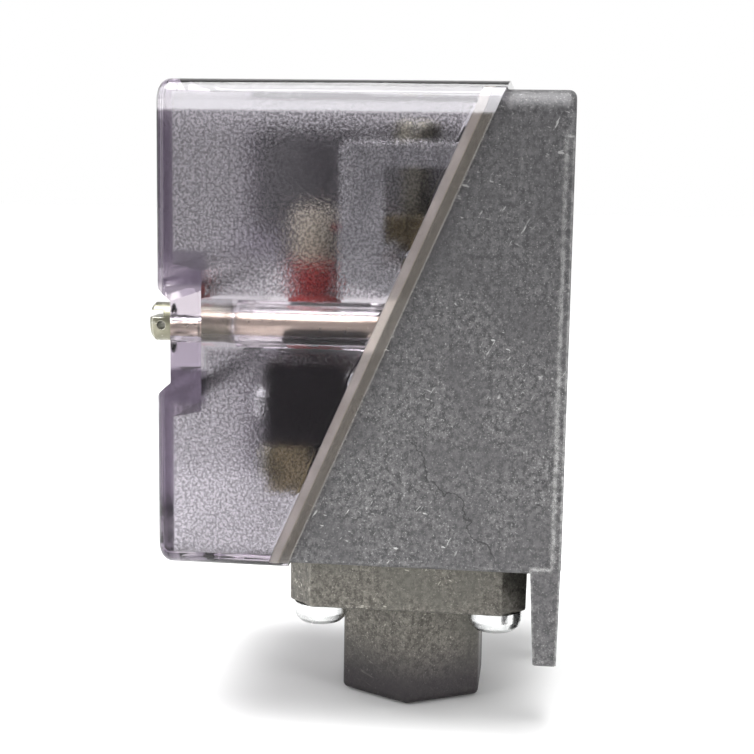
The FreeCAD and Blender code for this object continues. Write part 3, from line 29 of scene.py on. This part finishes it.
# a material being built: most methods add nodes and return a socket
class Graph:
    def __init__(self, name):
        self.material = bpy.data.materials.new(name)
        self.material.use_nodes = True
        self.tree = self.material.node_tree
        self.shader = self.tree.nodes["Principled BSDF"]
        self.output = self.tree.nodes["Material Output"]
        self.place = self.add("ShaderNodeTexCoord").outputs["Object"]

    def add(self, kind, **values):
        node = self.tree.nodes.new(kind)
        for key, value in values.items():
            setattr(node, key, value)
        return node

    def plug(self, source, target):
        self.tree.links.new(source, target)

    def stretch(self, scale, turn=(0, 0, 0)):
        turned = self.add("ShaderNodeMapping")
        turned.inputs["Rotation"].default_value = turn
        self.plug(self.place, turned.inputs["Vector"])
        node = self.add("ShaderNodeMapping")
        node.inputs["Scale"].default_value = scale
        self.plug(turned.outputs["Vector"], node.inputs["Vector"])
        return node.outputs["Vector"]

    def noise(self, scale, detail=4, rough=0.55, place=None):
        node = self.add("ShaderNodeTexNoise")
        node.inputs["Scale"].default_value = scale
        node.inputs["Detail"].default_value = detail
        node.inputs["Roughness"].default_value = rough
        self.plug(place or self.place, node.inputs["Vector"])
        return node.outputs["Fac"]

    def cells(self, scale):
        node = self.add("ShaderNodeTexVoronoi")
        node.inputs["Scale"].default_value = scale
        self.plug(self.place, node.inputs["Vector"])
        return node.outputs["Distance"]

    def remap(self, source, low, high, start=0.0, end=1.0, smooth=True):
        node = self.add("ShaderNodeMapRange")
        node.interpolation_type = "SMOOTHSTEP" if smooth else "LINEAR"
        ends = (("From Min", low), ("From Max", high), ("To Min", start), ("To Max", end))
        for key, value in ends:
            node.inputs[key].default_value = value
        self.plug(source, node.inputs["Value"])
        return node.outputs["Result"]

    def math(self, kind, first, second):
        node = self.add("ShaderNodeMath", operation=kind)
        for index, item in enumerate((first, second)):
            if isinstance(item, (int, float)):
                node.inputs[index].default_value = item
            else:
                self.plug(item, node.inputs[index])
        return node.outputs[0]

    def times(self, first, second):
        return self.math("MULTIPLY", first, second)

    def minus(self, first, second):
        return self.math("SUBTRACT", first, second)

    def larger(self, first, second):
        return self.math("MAXIMUM", first, second)

    def size(self, source):
        return self.math("ABSOLUTE", source, 0)

    def mix(self, share, first, second):
        node = self.add("ShaderNodeMix", data_type="RGBA")
        for key, item in (("share", share), ("first", first), ("second", second)):
            socket = node.inputs[mixSockets[key]]
            if isinstance(item, (int, float)):
                socket.default_value = item
            elif isinstance(item, tuple):
                socket.default_value = item + (1,)
            else:
                self.plug(item, socket)
        return node.outputs[mixSockets["result"]]

    def axis(self, name):
        node = self.add("ShaderNodeSeparateXYZ")
        self.plug(self.place, node.inputs[0])
        return node.outputs[name]

    def rounded(self, radius):
        bevel = self.add("ShaderNodeBevel", samples=bevelLook["samples"])
        bevel.inputs["Radius"].default_value = radius
        return bevel.outputs["Normal"]

    # each layer: height source, strength, depth in metres
    def bumps(self, layers, edge=0):
        last = self.rounded(edge) if edge else None
        for height, strength, depth in layers:
            bump = self.add("ShaderNodeBump")
            bump.inputs["Strength"].default_value = strength
            bump.inputs["Distance"].default_value = depth
            self.plug(height, bump.inputs["Height"])
            if last:
                self.plug(last, bump.inputs["Normal"])
            last = bump.outputs["Normal"]
        self.plug(last, self.shader.inputs["Normal"])

    def edgeMask(self, radius):
        true = self.add("ShaderNodeNewGeometry")
        dot = self.add("ShaderNodeVectorMath", operation="DOT_PRODUCT")
        self.plug(self.rounded(radius), dot.inputs[0])
        self.plug(true.outputs["Normal"], dot.inputs[1])
        return self.remap(dot.outputs["Value"], *bevelLook["fade"])

    def finish(self, **sockets):
        for key, value in sockets.items():
            socket = self.shader.inputs[key.replace("_", " ")]
            if isinstance(value, (int, float)):
                socket.default_value = value
            elif isinstance(value, tuple):
                socket.default_value = value + (1,)
            else:
                self.plug(value, socket)
        return self.material


# cast metal: pairs are noise levels between which a mark fades in
castMarks = {
    "blotchNoise": (5, 0.65), "mottleNoise": (6, 0.7), "speckNoise": (3, 0.6),
    "mottle": (0.36, 0.66), "brightSpeck": (0.56, 0.76), "deepSpeck": (0.44, 0.30),
    "stain": (0.40, 0.66), "stainShare": 0.55,
    "downward": {"scale": (1900, 1900, 75), "turn": (0.55, 0.25, 0.1), "fade": (0.66, 0.74)},
    "forward": {"scale": (1700, 110, 1700), "turn": (0.35, 0.1, 0.4), "fade": (0.67, 0.75)},
    "scratchNoise": (2, 0.4), "patchNoise": (95, 3), "patch": (0.53, 0.62),
    "wear": (0.40, 0.60, 0.35, 1),  # worn edges are broken up by the mottle
    "flowShare": 0.75, "shine": (0.3, 0.7),
    "blotchRelief": (0.25, 0.0004), "mottleDepth": 0.00012, "speckDepth": 0.00005,
    "scratchRelief": (0.3, 0.00005), "flowRelief": (-0.5, 0.0002),
}


def scratches(g, lines, marks):
    threads = g.noise(1, *marks["scratchNoise"], g.stretch(lines["scale"], lines["turn"]))
    return g.remap(threads, *lines["fade"])


def castMetal(name, look, marks=castMarks):
    g = Graph(name)
    blotch = g.noise(look["blotch"], *marks["blotchNoise"])
    mottle = g.noise(look["mottle"], *marks["mottleNoise"])
    speck = g.noise(look["speck"], *marks["speckNoise"])
    share = look["speckShare"]
    tone = g.mix(g.remap(mottle, *marks["mottle"]), look["dark"], look["light"])
    tone = g.mix(g.remap(speck, *marks["brightSpeck"], 0, share), tone, look["bright"])
    tone = g.mix(g.remap(speck, *marks["deepSpeck"], 0, share), tone, look["deep"])
    tone = g.mix(g.remap(blotch, *marks["stain"], 0, marks["stainShare"]), tone, look["stain"])

    both = g.larger(scratches(g, marks["downward"], marks), scratches(g, marks["forward"], marks))
    scratch = g.times(both, g.remap(g.noise(*marks["patchNoise"]), *marks["patch"]))
    tone = g.mix(g.times(scratch, look["scratch"]), tone, look["bright"])
    edge = g.times(g.edgeMask(look["edge"]), g.remap(mottle, *marks["wear"]))
    tone = g.mix(g.times(edge, look["wear"]), tone, look["bright"])
    layers = [
        (blotch, *marks["blotchRelief"]),
        (mottle, look["rough"], marks["mottleDepth"]),
        (speck, look["rough"], marks["speckDepth"]),
        (g.times(scratch, -1), *marks["scratchRelief"]),
    ]
    if "flow" in look:
        line = flowLine(g, look["flow"])
        tone = g.mix(g.times(line, marks["flowShare"]), tone, look["deep"])
        layers.append((line, *marks["flowRelief"]))
    # painted shade: a darker colour fades in between two heights
    if "paintedShade" in look:
        full, none, colour, share = look["paintedShade"]
        tone = g.mix(g.remap(g.axis("Z"), none, full, 0, share), tone, colour)
    g.bumps(layers, look["edge"])
    shine = g.remap(mottle, *marks["shine"], *look["shine"])
    return g.finish(Base_Color=tone, Metallic=look["metal"], Roughness=shine)


# a cold-flow line of the casting: thin and wandering down the side wall
def flowLine(g, flow):
    noise = g.noise(flow["wander"], *flow["noise"])
    wander = g.remap(noise, *flow["level"], -flow["sway"], flow["sway"], False)
    along = g.axis("Y")
    slope = g.times(g.minus(along, flow["startY"]), flow["slope"])
    gap = g.minus(g.minus(g.axis("Z"), flow["startZ"]), slope)
    gap = g.size(g.math("ADD", gap, wander))
    line = g.remap(gap, flow["width"], flow["width"] * flow["core"])
    fade = flow["fade"]
    first = g.remap(along, flow["startY"] - fade, flow["startY"] + fade)
    last = g.remap(along, flow["endY"] + fade, flow["endY"] - fade)
    return g.times(line, g.times(first, last))


plateMarks = {
    "hazeNoise": (4, 0.6), "grainNoise": (3, 0.6), "haze": (0.35, 0.68),
    "grain": (0.60, 0.78), "grainShare": 0.5, "wear": 0.5,
    "shankBlur": 0.0005,
    "pitScale": 6, "pit": (0.0, 0.22), "pitShare": 0.35,
    "shine": (0.25, 0.75), "grainDepth": 0.00004, "hazeRelief": (0.15, 0.00006),
}


def platedMetal(name, look, marks=plateMarks):
    g = Graph(name)
    haze = g.noise(look["haze"], *marks["hazeNoise"])
    grain = g.noise(1, *marks["grainNoise"], g.stretch(look["grain"]))
    tone = g.mix(g.remap(haze, *marks["haze"]), look["dark"], look["light"])
    tone = g.mix(g.remap(grain, *marks["grain"], 0, marks["grainShare"]), tone, look["bright"])
    # painted highlight: the shank inside the tube is coloured pale gold for its bright reflections
    if "shank" in look:
        start, colour = look["shank"]
        blur = marks["shankBlur"]
        tone = g.mix(g.remap(g.axis("Y"), start - blur, start + blur), tone, colour)
    tone = g.mix(g.times(g.edgeMask(look["edge"]), marks["wear"]), tone, look["bright"])
    pits = g.remap(g.cells(look["haze"] * marks["pitScale"]), *marks["pit"])
    tone = g.mix(g.remap(pits, 1.0, 0.0, 0, marks["pitShare"]), tone, look["dark"])
    layers = [(grain, look["rough"], marks["grainDepth"]), (haze, *marks["hazeRelief"])]
    g.bumps(layers, look["edge"])
    shine = g.remap(grain, *marks["shine"], *look["shine"])
    return g.finish(Base_Color=tone, Metallic=1.0, Roughness=shine)


plasticMarks = {
    "cloudNoise": (3, 0.5), "grainNoise": (4, 0.6), "cloud": (0.35, 0.65),
    "dustScale": 0.5, "dustNoise": (5, 0.7), "dust": (0.62, 0.74),
    "shine": (0.3, 0.7), "coatRough": 0.12,
    "grainDepth": 0.00004, "cloudRelief": (0.1, 0.0002),
}


def mouldedPlastic(name, look, marks=plasticMarks):
    g = Graph(name)
    cloud = g.noise(look["cloud"], *marks["cloudNoise"])
    grain = g.noise(look["grain"], *marks["grainNoise"])
    dust = g.noise(look["grain"] * marks["dustScale"], *marks["dustNoise"])
    dust = g.remap(dust, *marks["dust"], 0, look["dust"])
    tone = g.mix(g.remap(cloud, *marks["cloud"]), look["dark"], look["light"])
    tone = g.mix(dust, tone, look["pale"])
    layers = [(grain, look["rough"], marks["grainDepth"]), (cloud, *marks["cloudRelief"])]
    g.bumps(layers, look["edge"])
    shine = g.remap(grain, *marks["shine"], *look["shine"])
    return g.finish(Base_Color=tone, Roughness=shine, Specular_IOR_Level=look["gloss"],
                    Coat_Weight=look["coat"], Coat_Roughness=marks["coatRough"])


rubberMarks = {
    "cloudNoise": (4, 0.6), "grainNoise": (3, 0.6), "cloud": (0.35, 0.68),
    "stain": (0.62, 0.76), "stainShare": 0.5,
    "shine": (0.3, 0.7, 0.6, 0.85), "sheen": 0.1,
    "edge": 0.0002, "grainRelief": (0.35, 0.00008), "cloudRelief": (0.2, 0.0003),
}


def softRubber(name, look, marks=rubberMarks):
    g = Graph(name)
    cloud = g.noise(look["cloud"], *marks["cloudNoise"])
    grain = g.noise(look["grain"], *marks["grainNoise"])
    tone = g.mix(g.remap(cloud, *marks["cloud"]), look["dark"], look["light"])
    tone = g.mix(g.remap(grain, *marks["stain"], 0, marks["stainShare"]), tone, look["stain"])
    g.bumps([(grain, *marks["grainRelief"]), (cloud, *marks["cloudRelief"])], marks["edge"])
    shine = g.remap(grain, *marks["shine"])
    return g.finish(Base_Color=tone, Roughness=shine, Sheen_Weight=marks["sheen"])


coverLook = {
    "pale": (0.70, 0.683, 0.712),
    "dim": (0.215, 0.206, 0.222),
    "farSideShade": (0.010, 0.0094, 0.0103),  # painted shade: the cable side is tinted almost black, darkening what is seen through the cover
    "farSplit": (0.01, -0.01),
    "smooth": (0.98, 0.955, 0.97),
    "paintedShade": (0.19, 0.165, 0.215),  # painted shade on the front wall and the steps of its band, seen edge on
    "absorb": (0.60, 0.50, 0.60, 1),
    "density": 13.0,
    "etch": 2300.0,
    "etchNoise": (3, 0.6),
    "coarse": 0.4,  # size of the coarser grain against the fine one
    "grain": (0.40, 0.60, 1, 0),
    "etchLeast": 0.10,  # what is left of the texture where the cover is smooth
    "etchRelief": (0.5, 0.00009),
    "waveNoise": (120, 3),
    "waveRelief": (0.04, 0.0004),
    "sideRough": 0.22,
    "edgeRough": 0.03,
    "bend": 1.52,
    "mirror": (0.16, 0.15, 0.16),
    "gloss": 0.28,
    "glossBend": 1.6,
    "glossRough": 0.04,
    "sideTurn": (0.93, 0.995),  # the X part of the normal on a side face
    "frostX": 0.0288,  # side faces beyond this half width carry the fine mould texture
    "frostBlur": 0.0004,
    "blur": 0.0006,
    "bandLow": 0.0632,  # a smooth band along the screw tube
    "bandHigh": 0.0716,
    "bandMiddle": 0.0664,  # the smooth part in front of it
    "bandHalf": 0.0066,
    "bandDepth": -0.0312,
    "stepHalf": 0.0122,
    "wallDepth": -0.0366,
    "crown": (0.0998, 0.1006, 0.1043),  # the upper rounding starts here
    "crownTurn": (0.15, 0.45),
    # painted highlight on the upper rounding: how opaque and pale it is, and its colour
    "crownHighlight": 0.22,
    "crownHighlightTint": (0.95, 0.94, 0.97),
    # painted shade: a darker line along the top edge
    "ridgeShade": (0.50, 0.47, 0.55),
    "ridgeTurn": (0.08, 0.20),
    "tube": {"half": 0.0048, "blur": 0.0002, "front": -0.0322, "height": 0.064},
    "tubeTint": (0.985, 0.94, 0.955),
    "tubeMilk": 0.02,
    "frostEnd": (-0.0004, 0.0002),  # distance past the seam, and blur
    "lip": (0.0014, 0.0001),
    "lipTint": (0.55, 0.51, 0.46),
    "lipMilk": 0.08,
    "rim": (0.00290, 0.00008),
    # painted highlight on the outer edge of the lip
    "lipEdgeHighlight": (0.86, 0.84, 0.80),
    "scuffs": (0.0070, 0.0140, -0.0305, 0.0885),  # half depth, half height, middle along Y and Z
    "scuffCore": (0.4, 0.5),
    "scuffScale": (600, 1500, 260),
    "scuffNoise": (3, 0.6),
    "scuffLevel": (0.52, 0.66),
    "scuffShare": 0.22,
    "scuffTint": (1.0, 1.0, 1.0),
    "seam": (-0.0049, 0.0665, 23.5),  # Y at a height, and the tilt in degrees
}


def clearCover(look):
    g = Graph("clearCover")
    grain = g.noise(look["etch"], *look["etchNoise"])
    coarse = g.noise(look["etch"] * look["coarse"], *look["etchNoise"])
    true = g.add("ShaderNodeNewGeometry")
    split = g.add("ShaderNodeSeparateXYZ")
    g.plug(true.outputs["Normal"], split.inputs[0])
    sideways = g.size(split.outputs["X"])
    across = g.axis("X")
    depth = g.axis("Y")
    height = g.axis("Z")
    side = g.remap(sideways, *look["sideTurn"])
    out = g.remap(g.size(across), look["frostX"], look["frostX"] + look["frostBlur"])

    def above(value, limit, blur=look["blur"]):
        return g.remap(value, limit - blur, limit + blur)

    def below(value, limit, blur=look["blur"]):
        return g.remap(value, limit + blur, limit - blur)

    # distance past the seam, square to it
    seamY, seamZ, tilt = look["seam"]
    tilt = math.radians(tilt)
    run = g.times(g.minus(height, seamZ), math.tan(tilt))
    past = g.times(g.minus(g.minus(depth, seamY), run), math.cos(tilt))

    # where the side faces are smooth: along the tube and in front of it
    tube = g.times(above(height, look["bandLow"]), below(height, look["bandHigh"]))
    off = g.size(g.minus(height, look["bandMiddle"]))
    front = below(depth, look["bandDepth"])
    clear = g.larger(tube, g.times(front, below(off, look["bandHalf"])))
    etched = g.larger(g.minus(1, clear), look["etchLeast"])
    frost = g.times(g.times(side, out), g.times(etched, below(past, *look["frostEnd"])))

    # painted shade on the wall and the steps beside the groove, seen edge on
    beside = above(off, look["bandHalf"])
    step = g.times(front, g.times(beside, below(off, look["stepHalf"])))
    wall = g.times(below(depth, look["wallDepth"]), beside)
    paintedShadeMask = g.times(g.larger(step, wall), out)

    # fine scuffs on the upper front part of the side faces
    halfDepth, halfHeight, midY, midZ = look["scuffs"]
    coreY, coreZ = look["scuffCore"]
    lines = g.noise(1, *look["scuffNoise"], g.stretch(look["scuffScale"]))
    nearY = g.remap(g.size(g.minus(depth, midY)), halfDepth, halfDepth * coreY)
    nearZ = g.remap(g.size(g.minus(height, midZ)), halfHeight, halfHeight * coreZ)
    scuff = g.times(g.times(g.remap(lines, *look["scuffLevel"]), frost), g.times(nearY, nearZ))

    rough = g.mix(frost, (look["edgeRough"],) * 3, (look["sideRough"],) * 3)
    relief = g.times(g.math("ADD", grain, coarse), frost)
    g.bumps([(relief, *look["etchRelief"]), (g.noise(*look["waveNoise"]), *look["waveRelief"])])

    bright = g.times(g.remap(grain, *look["grain"]), frost)
    tone = g.mix(bright, look["pale"], look["dim"])
    tone = g.mix(g.times(g.times(side, clear), out), tone, look["smooth"])
    # painted shade: the far side tinted almost black
    tone = g.mix(g.times(frost, g.remap(across, *look["farSplit"])), tone, look["farSideShade"])
    # painted shade on the edge-on wall and steps
    tone = g.mix(paintedShadeMask, tone, look["paintedShade"])
    tone = g.mix(g.times(scuff, look["scuffShare"]), tone, look["scuffTint"])

    # the tube and the lip are slightly milky; the upper rounding carries a painted highlight, pale
    # and partly opaque
    start, full, end = look["crown"]
    crown = g.times(g.remap(height, start, full), below(height, end))
    crown = g.times(g.times(crown, g.remap(sideways, *look["crownTurn"])), out)
    # painted shade along the top edge, seen edge on
    ridgeShade = g.times(above(height, end), g.remap(sideways, *look["ridgeTurn"]))
    half, blur = look["tube"]["half"], look["tube"]["blur"]
    fromAxis = g.size(g.minus(height, look["tube"]["height"]))
    core = g.times(below(g.size(across), half, blur), above(depth, look["tube"]["front"]))
    core = g.times(core, below(fromAxis, half, blur))
    lip = g.times(above(past, *look["lip"]), out)
    rim = g.times(above(past, *look["rim"]), out)
    tone = g.mix(ridgeShade, tone, look["ridgeShade"])
    tone = g.mix(core, tone, look["tubeTint"])
    tone = g.mix(lip, tone, look["lipTint"])
    # painted highlight on the lip's outer edge
    tone = g.mix(rim, tone, look["lipEdgeHighlight"])
    # painted highlight on the upper rounding
    tone = g.mix(crown, tone, look["crownHighlightTint"])
    milkAndHighlight = g.larger(g.times(crown, look["crownHighlight"]), g.times(lip, look["lipMilk"]))
    milkAndHighlight = g.larger(milkAndHighlight, g.times(core, look["tubeMilk"]))

    volume = g.add("ShaderNodeVolumeAbsorption")
    volume.inputs["Color"].default_value = look["absorb"]
    volume.inputs["Density"].default_value = look["density"]
    g.plug(volume.outputs[0], g.output.inputs["Volume"])
    plain = g.times(g.times(side, out), clear)
    gloss = g.times(g.math("ADD", g.minus(1, side), plain), look["gloss"])
    return g.finish(Base_Color=tone, Roughness=rough, Transmission_Weight=g.minus(1, milkAndHighlight),
                    IOR=look["bend"], Specular_Tint=look["mirror"], Coat_Weight=gloss,
                    Coat_IOR=look["glossBend"], Coat_Roughness=look["glossRough"])


# the finishes of this switch
housingLook = {
    "blotch": 110.0, "mottle": 1000.0, "speck": 3000.0, "speckShare": 0.75,
    "dark": (0.046, 0.045, 0.047), "light": (0.160, 0.157, 0.159), "bright": (0.50, 0.50, 0.49),
    "deep": (0.020, 0.020, 0.021), "stain": (0.070, 0.068, 0.071), "scratch": 0.85, "wear": 0.75,
    "edge": 0.0007, "rough": 0.55, "metal": 0.6, "shine": (0.38, 0.58),
    "paintedShade": (0.090, 0.040, (0.045, 0.044, 0.047), 0.52),  # painted shade, the upper part of the housing darker: full and none at these heights
    "flow": {
        "wander": 170.0, "noise": (4, 0.6), "level": (0.3, 0.7), "sway": 0.0035,
        "startY": 0.0008, "endY": 0.0150, "startZ": 0.0500, "slope": -1.45,
        "width": 0.00042, "core": 0.3, "fade": 0.001,
    },
}
# the flange carries painted shade, darker towards its bottom
flangeLook = dict(housingLook, dark=(0.060, 0.055, 0.047), light=(0.185, 0.174, 0.152),
                  stain=(0.10, 0.098, 0.085), bright=(0.45, 0.43, 0.38), wear=0.5,
                  paintedShade=(0.002, 0.013, (0.035, 0.030, 0.035), 0.85))
del flangeLook["flow"]
zincLook = {
    "haze": 160.0, "grain": (900, 900, 900), "rough": 0.2, "edge": 0.0003, "shine": (0.16, 0.32),
    "dark": (0.52, 0.53, 0.53), "light": (0.72, 0.73, 0.72), "bright": (0.92, 0.92, 0.90),
}
aluminiumLook = dict(zincLook, grain=(300, 300, 2400))
steelLook = dict(zincLook, dark=(0.55, 0.55, 0.55), light=(0.68, 0.68, 0.68),
                 grain=(300, 2400, 300))
nickelLook = dict(zincLook, dark=(0.26, 0.25, 0.19), light=(0.42, 0.41, 0.33),
                  bright=(0.75, 0.75, 0.68), shine=(0.18, 0.36))
# the screw's shank inside the tube carries a painted highlight
coverScrewLook = dict(nickelLook, dark=(0.15, 0.145, 0.105), light=(0.27, 0.26, 0.20),
                      shank=(-0.0370, (0.95, 0.86, 0.68)), shine=(0.26, 0.40))
brassLook = dict(zincLook, dark=(0.12, 0.10, 0.055), light=(0.29, 0.24, 0.145),
                 bright=(0.70, 0.60, 0.40), shine=(0.20, 0.40))
blackLook = {
    "cloud": 90.0, "grain": 1500.0, "dust": 0.15, "rough": 0.35, "edge": 0.0003,
    "dark": (0.006, 0.005, 0.006), "light": (0.012, 0.011, 0.012), "pale": (0.06, 0.06, 0.06),
    "shine": (0.40, 0.60), "coat": 0.0, "gloss": 0.12,
}
redLook = dict(blackLook, dark=(0.42, 0.012, 0.010), light=(0.60, 0.022, 0.016),
               pale=(0.75, 0.25, 0.2), rough=0.1, shine=(0.22, 0.34), coat=0.3, dust=0.1,
               gloss=0.5)
creamLook = dict(redLook, dark=(0.70, 0.63, 0.47), light=(0.84, 0.79, 0.65),
                 pale=(0.9, 0.88, 0.8))
sealLook = {
    "cloud": 120.0, "grain": 900.0,
    "dark": (0.62, 0.575, 0.50), "light": (0.84, 0.79, 0.71), "stain": (0.45, 0.40, 0.36),
}
blackSealLook = dict(sealLook, dark=(0.012, 0.012, 0.013), light=(0.03, 0.03, 0.032),
                     stain=(0.08, 0.08, 0.08))

finishes = {
    "cast_housing": castMetal("castHousing", housingLook),
    "cast_flange": castMetal("castFlange", flangeLook),
    "zinc_steel": platedMetal("zincSteel", zincLook),
    "bright_steel": platedMetal("brightSteel", steelLook),
    "nickel": platedMetal("nickelPlate", nickelLook),
    "brass": platedMetal("brass", brassLook),
    "plain_aluminium": platedMetal("plainAluminium", aluminiumLook),
    "black_plastic": mouldedPlastic("blackPlastic", blackLook),
    "red_plastic": mouldedPlastic("redPlastic", redLook),
    "cream_plastic": mouldedPlastic("creamPlastic", creamLook),
    "white_rubber": softRubber("whiteSeal", sealLook),
    "black_rubber": softRubber("blackSeal", blackSealLook),
    "clear_plastic": clearCover(coverLook),
}


def dress(thing, finish):
    if not thing.material_slots:
        thing.data.materials.append(finish)
    for place in thing.material_slots:
        place.material = finish


for part in frame["record"]["subparts"]:
    dress(nodes[part["node"]], finishes[part["material_slot"]])
dress(nodes["cover_screw"], platedMetal("coverScrew", coverScrewLook))
print("finishes set")


floorLook = {
    "size": 6,
    "drop": -0.0003,  # just below the switch
    "colour": (0.86, 0.86, 0.86),
    "noise": (3, 3),
    "level": (0.3, 0.7),
    "patch": 0.98,
    "rough": 0.9,
    "glow": 0.45,  # keeps the far floor as pale as the near floor
    "glowReach": (0.25, 1.2),
}


def makeFloor(look):
    bpy.ops.object.select_all(action="DESELECT")
    bpy.ops.mesh.primitive_plane_add(size=look["size"], location=(0, 0, look["drop"]))
    floor = bpy.context.active_object
    floor.name = "floor"
    g = Graph("paleFloor")
    patch = tuple(value * look["patch"] for value in look["colour"])
    tone = g.mix(g.remap(g.noise(*look["noise"]), *look["level"]), look["colour"], patch)
    far = g.add("ShaderNodeVectorMath", operation="LENGTH")
    g.plug(g.place, far.inputs[0])
    glow = g.remap(far.outputs["Value"], *look["glowReach"], 0, look["glow"])
    floor.data.materials.append(g.finish(Base_Color=tone, Roughness=look["rough"],
                                         Emission_Color=look["colour"],
                                         Emission_Strength=glow))


worldLook = {
    "low": (0.66, 0.66, 0.67, 1),
    "high": (1, 1, 1, 1),
    "behind": (1.25, 1.25, 1.25, 1),  # paler behind the switch than in front of it
    "behindX": (-0.55, -0.90),
    "strength": 0.80,
}


def makeWorld(look):
    world = bpy.data.worlds.new("softRoom")
    bpy.context.scene.world = world
    world.use_nodes = True
    tree = world.node_tree
    back = tree.nodes["Background"]
    coord = tree.nodes.new("ShaderNodeTexCoord")
    split = tree.nodes.new("ShaderNodeSeparateXYZ")
    ramp = tree.nodes.new("ShaderNodeValToRGB")
    tree.links.new(coord.outputs["Generated"], split.inputs[0])
    tree.links.new(split.outputs["Z"], ramp.inputs["Fac"])
    ramp.color_ramp.elements[0].color = look["low"]
    ramp.color_ramp.elements[1].color = look["high"]
    behind = tree.nodes.new("ShaderNodeMapRange")
    nearX, farX = look["behindX"]
    behind.inputs["From Min"].default_value = nearX
    behind.inputs["From Max"].default_value = farX
    tree.links.new(split.outputs["X"], behind.inputs["Value"])
    blend = tree.nodes.new("ShaderNodeMix")
    blend.data_type = "RGBA"
    blend.inputs[mixSockets["second"]].default_value = look["behind"]
    tree.links.new(behind.outputs["Result"], blend.inputs[mixSockets["share"]])
    tree.links.new(ramp.outputs["Color"], blend.inputs[mixSockets["first"]])
    tree.links.new(blend.outputs[mixSockets["result"]], back.inputs["Color"])
    back.inputs["Strength"].default_value = look["strength"]


lights = {
    "topLight": {"place": (0.06, -0.05, 0.60), "target": (0, 0, 0.06),
                 "size": (0.5, 0.5), "power": 7.0},
    "frontLight": {"place": (0.30, -0.50, 0.20), "target": (0, 0, 0.06),
                   "size": (0.35, 0.5), "power": 1.6},
    "backLight": {"place": (0.28, 0.42, 0.12), "target": (0, 0.02, 0.06),
                  "size": (0.10, 0.5), "power": 1.6},
}


def softBox(name, look):
    light = bpy.data.lights.new(name, "AREA")
    light.shape = "RECTANGLE"
    light.size, light.size_y = look["size"]
    light.energy = look["power"]
    lamp = bpy.data.objects.new(name, light)
    bpy.context.scene.collection.objects.link(lamp)
    lamp.location = look["place"]
    lamp.rotation_mode = "QUATERNION"
    toTarget = Vector(look["target"]) - lamp.location
    lamp.rotation_quaternion = toTarget.to_track_quat("-Z", "Y")


cameraLook = {
    "lens": 68.39,
    "sensor": 36,
    "nearest": 0.01,
    "eye": (0.2499, 0.02184, 0.09137),
    "yaw": 6.716,
    "pitch": 8.206,
    "roll": 0.897,
}


def makeCamera(look):
    yaw, pitch, roll = (math.radians(look[key]) for key in ("yaw", "pitch", "roll"))
    level = math.cos(pitch)
    ahead = Vector((-level * math.cos(yaw), -level * math.sin(yaw), -math.sin(pitch)))
    right = ahead.cross(Vector((0, 0, 1))).normalized()
    up = right.cross(ahead)
    across = right * math.cos(roll) + up * math.sin(roll)
    upward = up * math.cos(roll) - right * math.sin(roll)
    turn = Matrix((across, upward, -ahead)).transposed()
    data = bpy.data.cameras.new("camera")
    data.sensor_width = look["sensor"]
    data.lens = look["lens"]
    data.clip_start = look["nearest"]
    camera = bpy.data.objects.new("camera", data)
    bpy.context.scene.collection.objects.link(camera)
    camera.rotation_mode = "QUATERNION"
    camera.rotation_quaternion = turn.to_quaternion()
    camera.location = look["eye"]
    bpy.context.scene.camera = camera


makeFloor(floorLook)
makeWorld(worldLook)
for name, look in lights.items():
    softBox(name, look)
makeCamera(cameraLook)
bpy.context.scene.view_settings.view_transform = "Standard"
print("stage set")
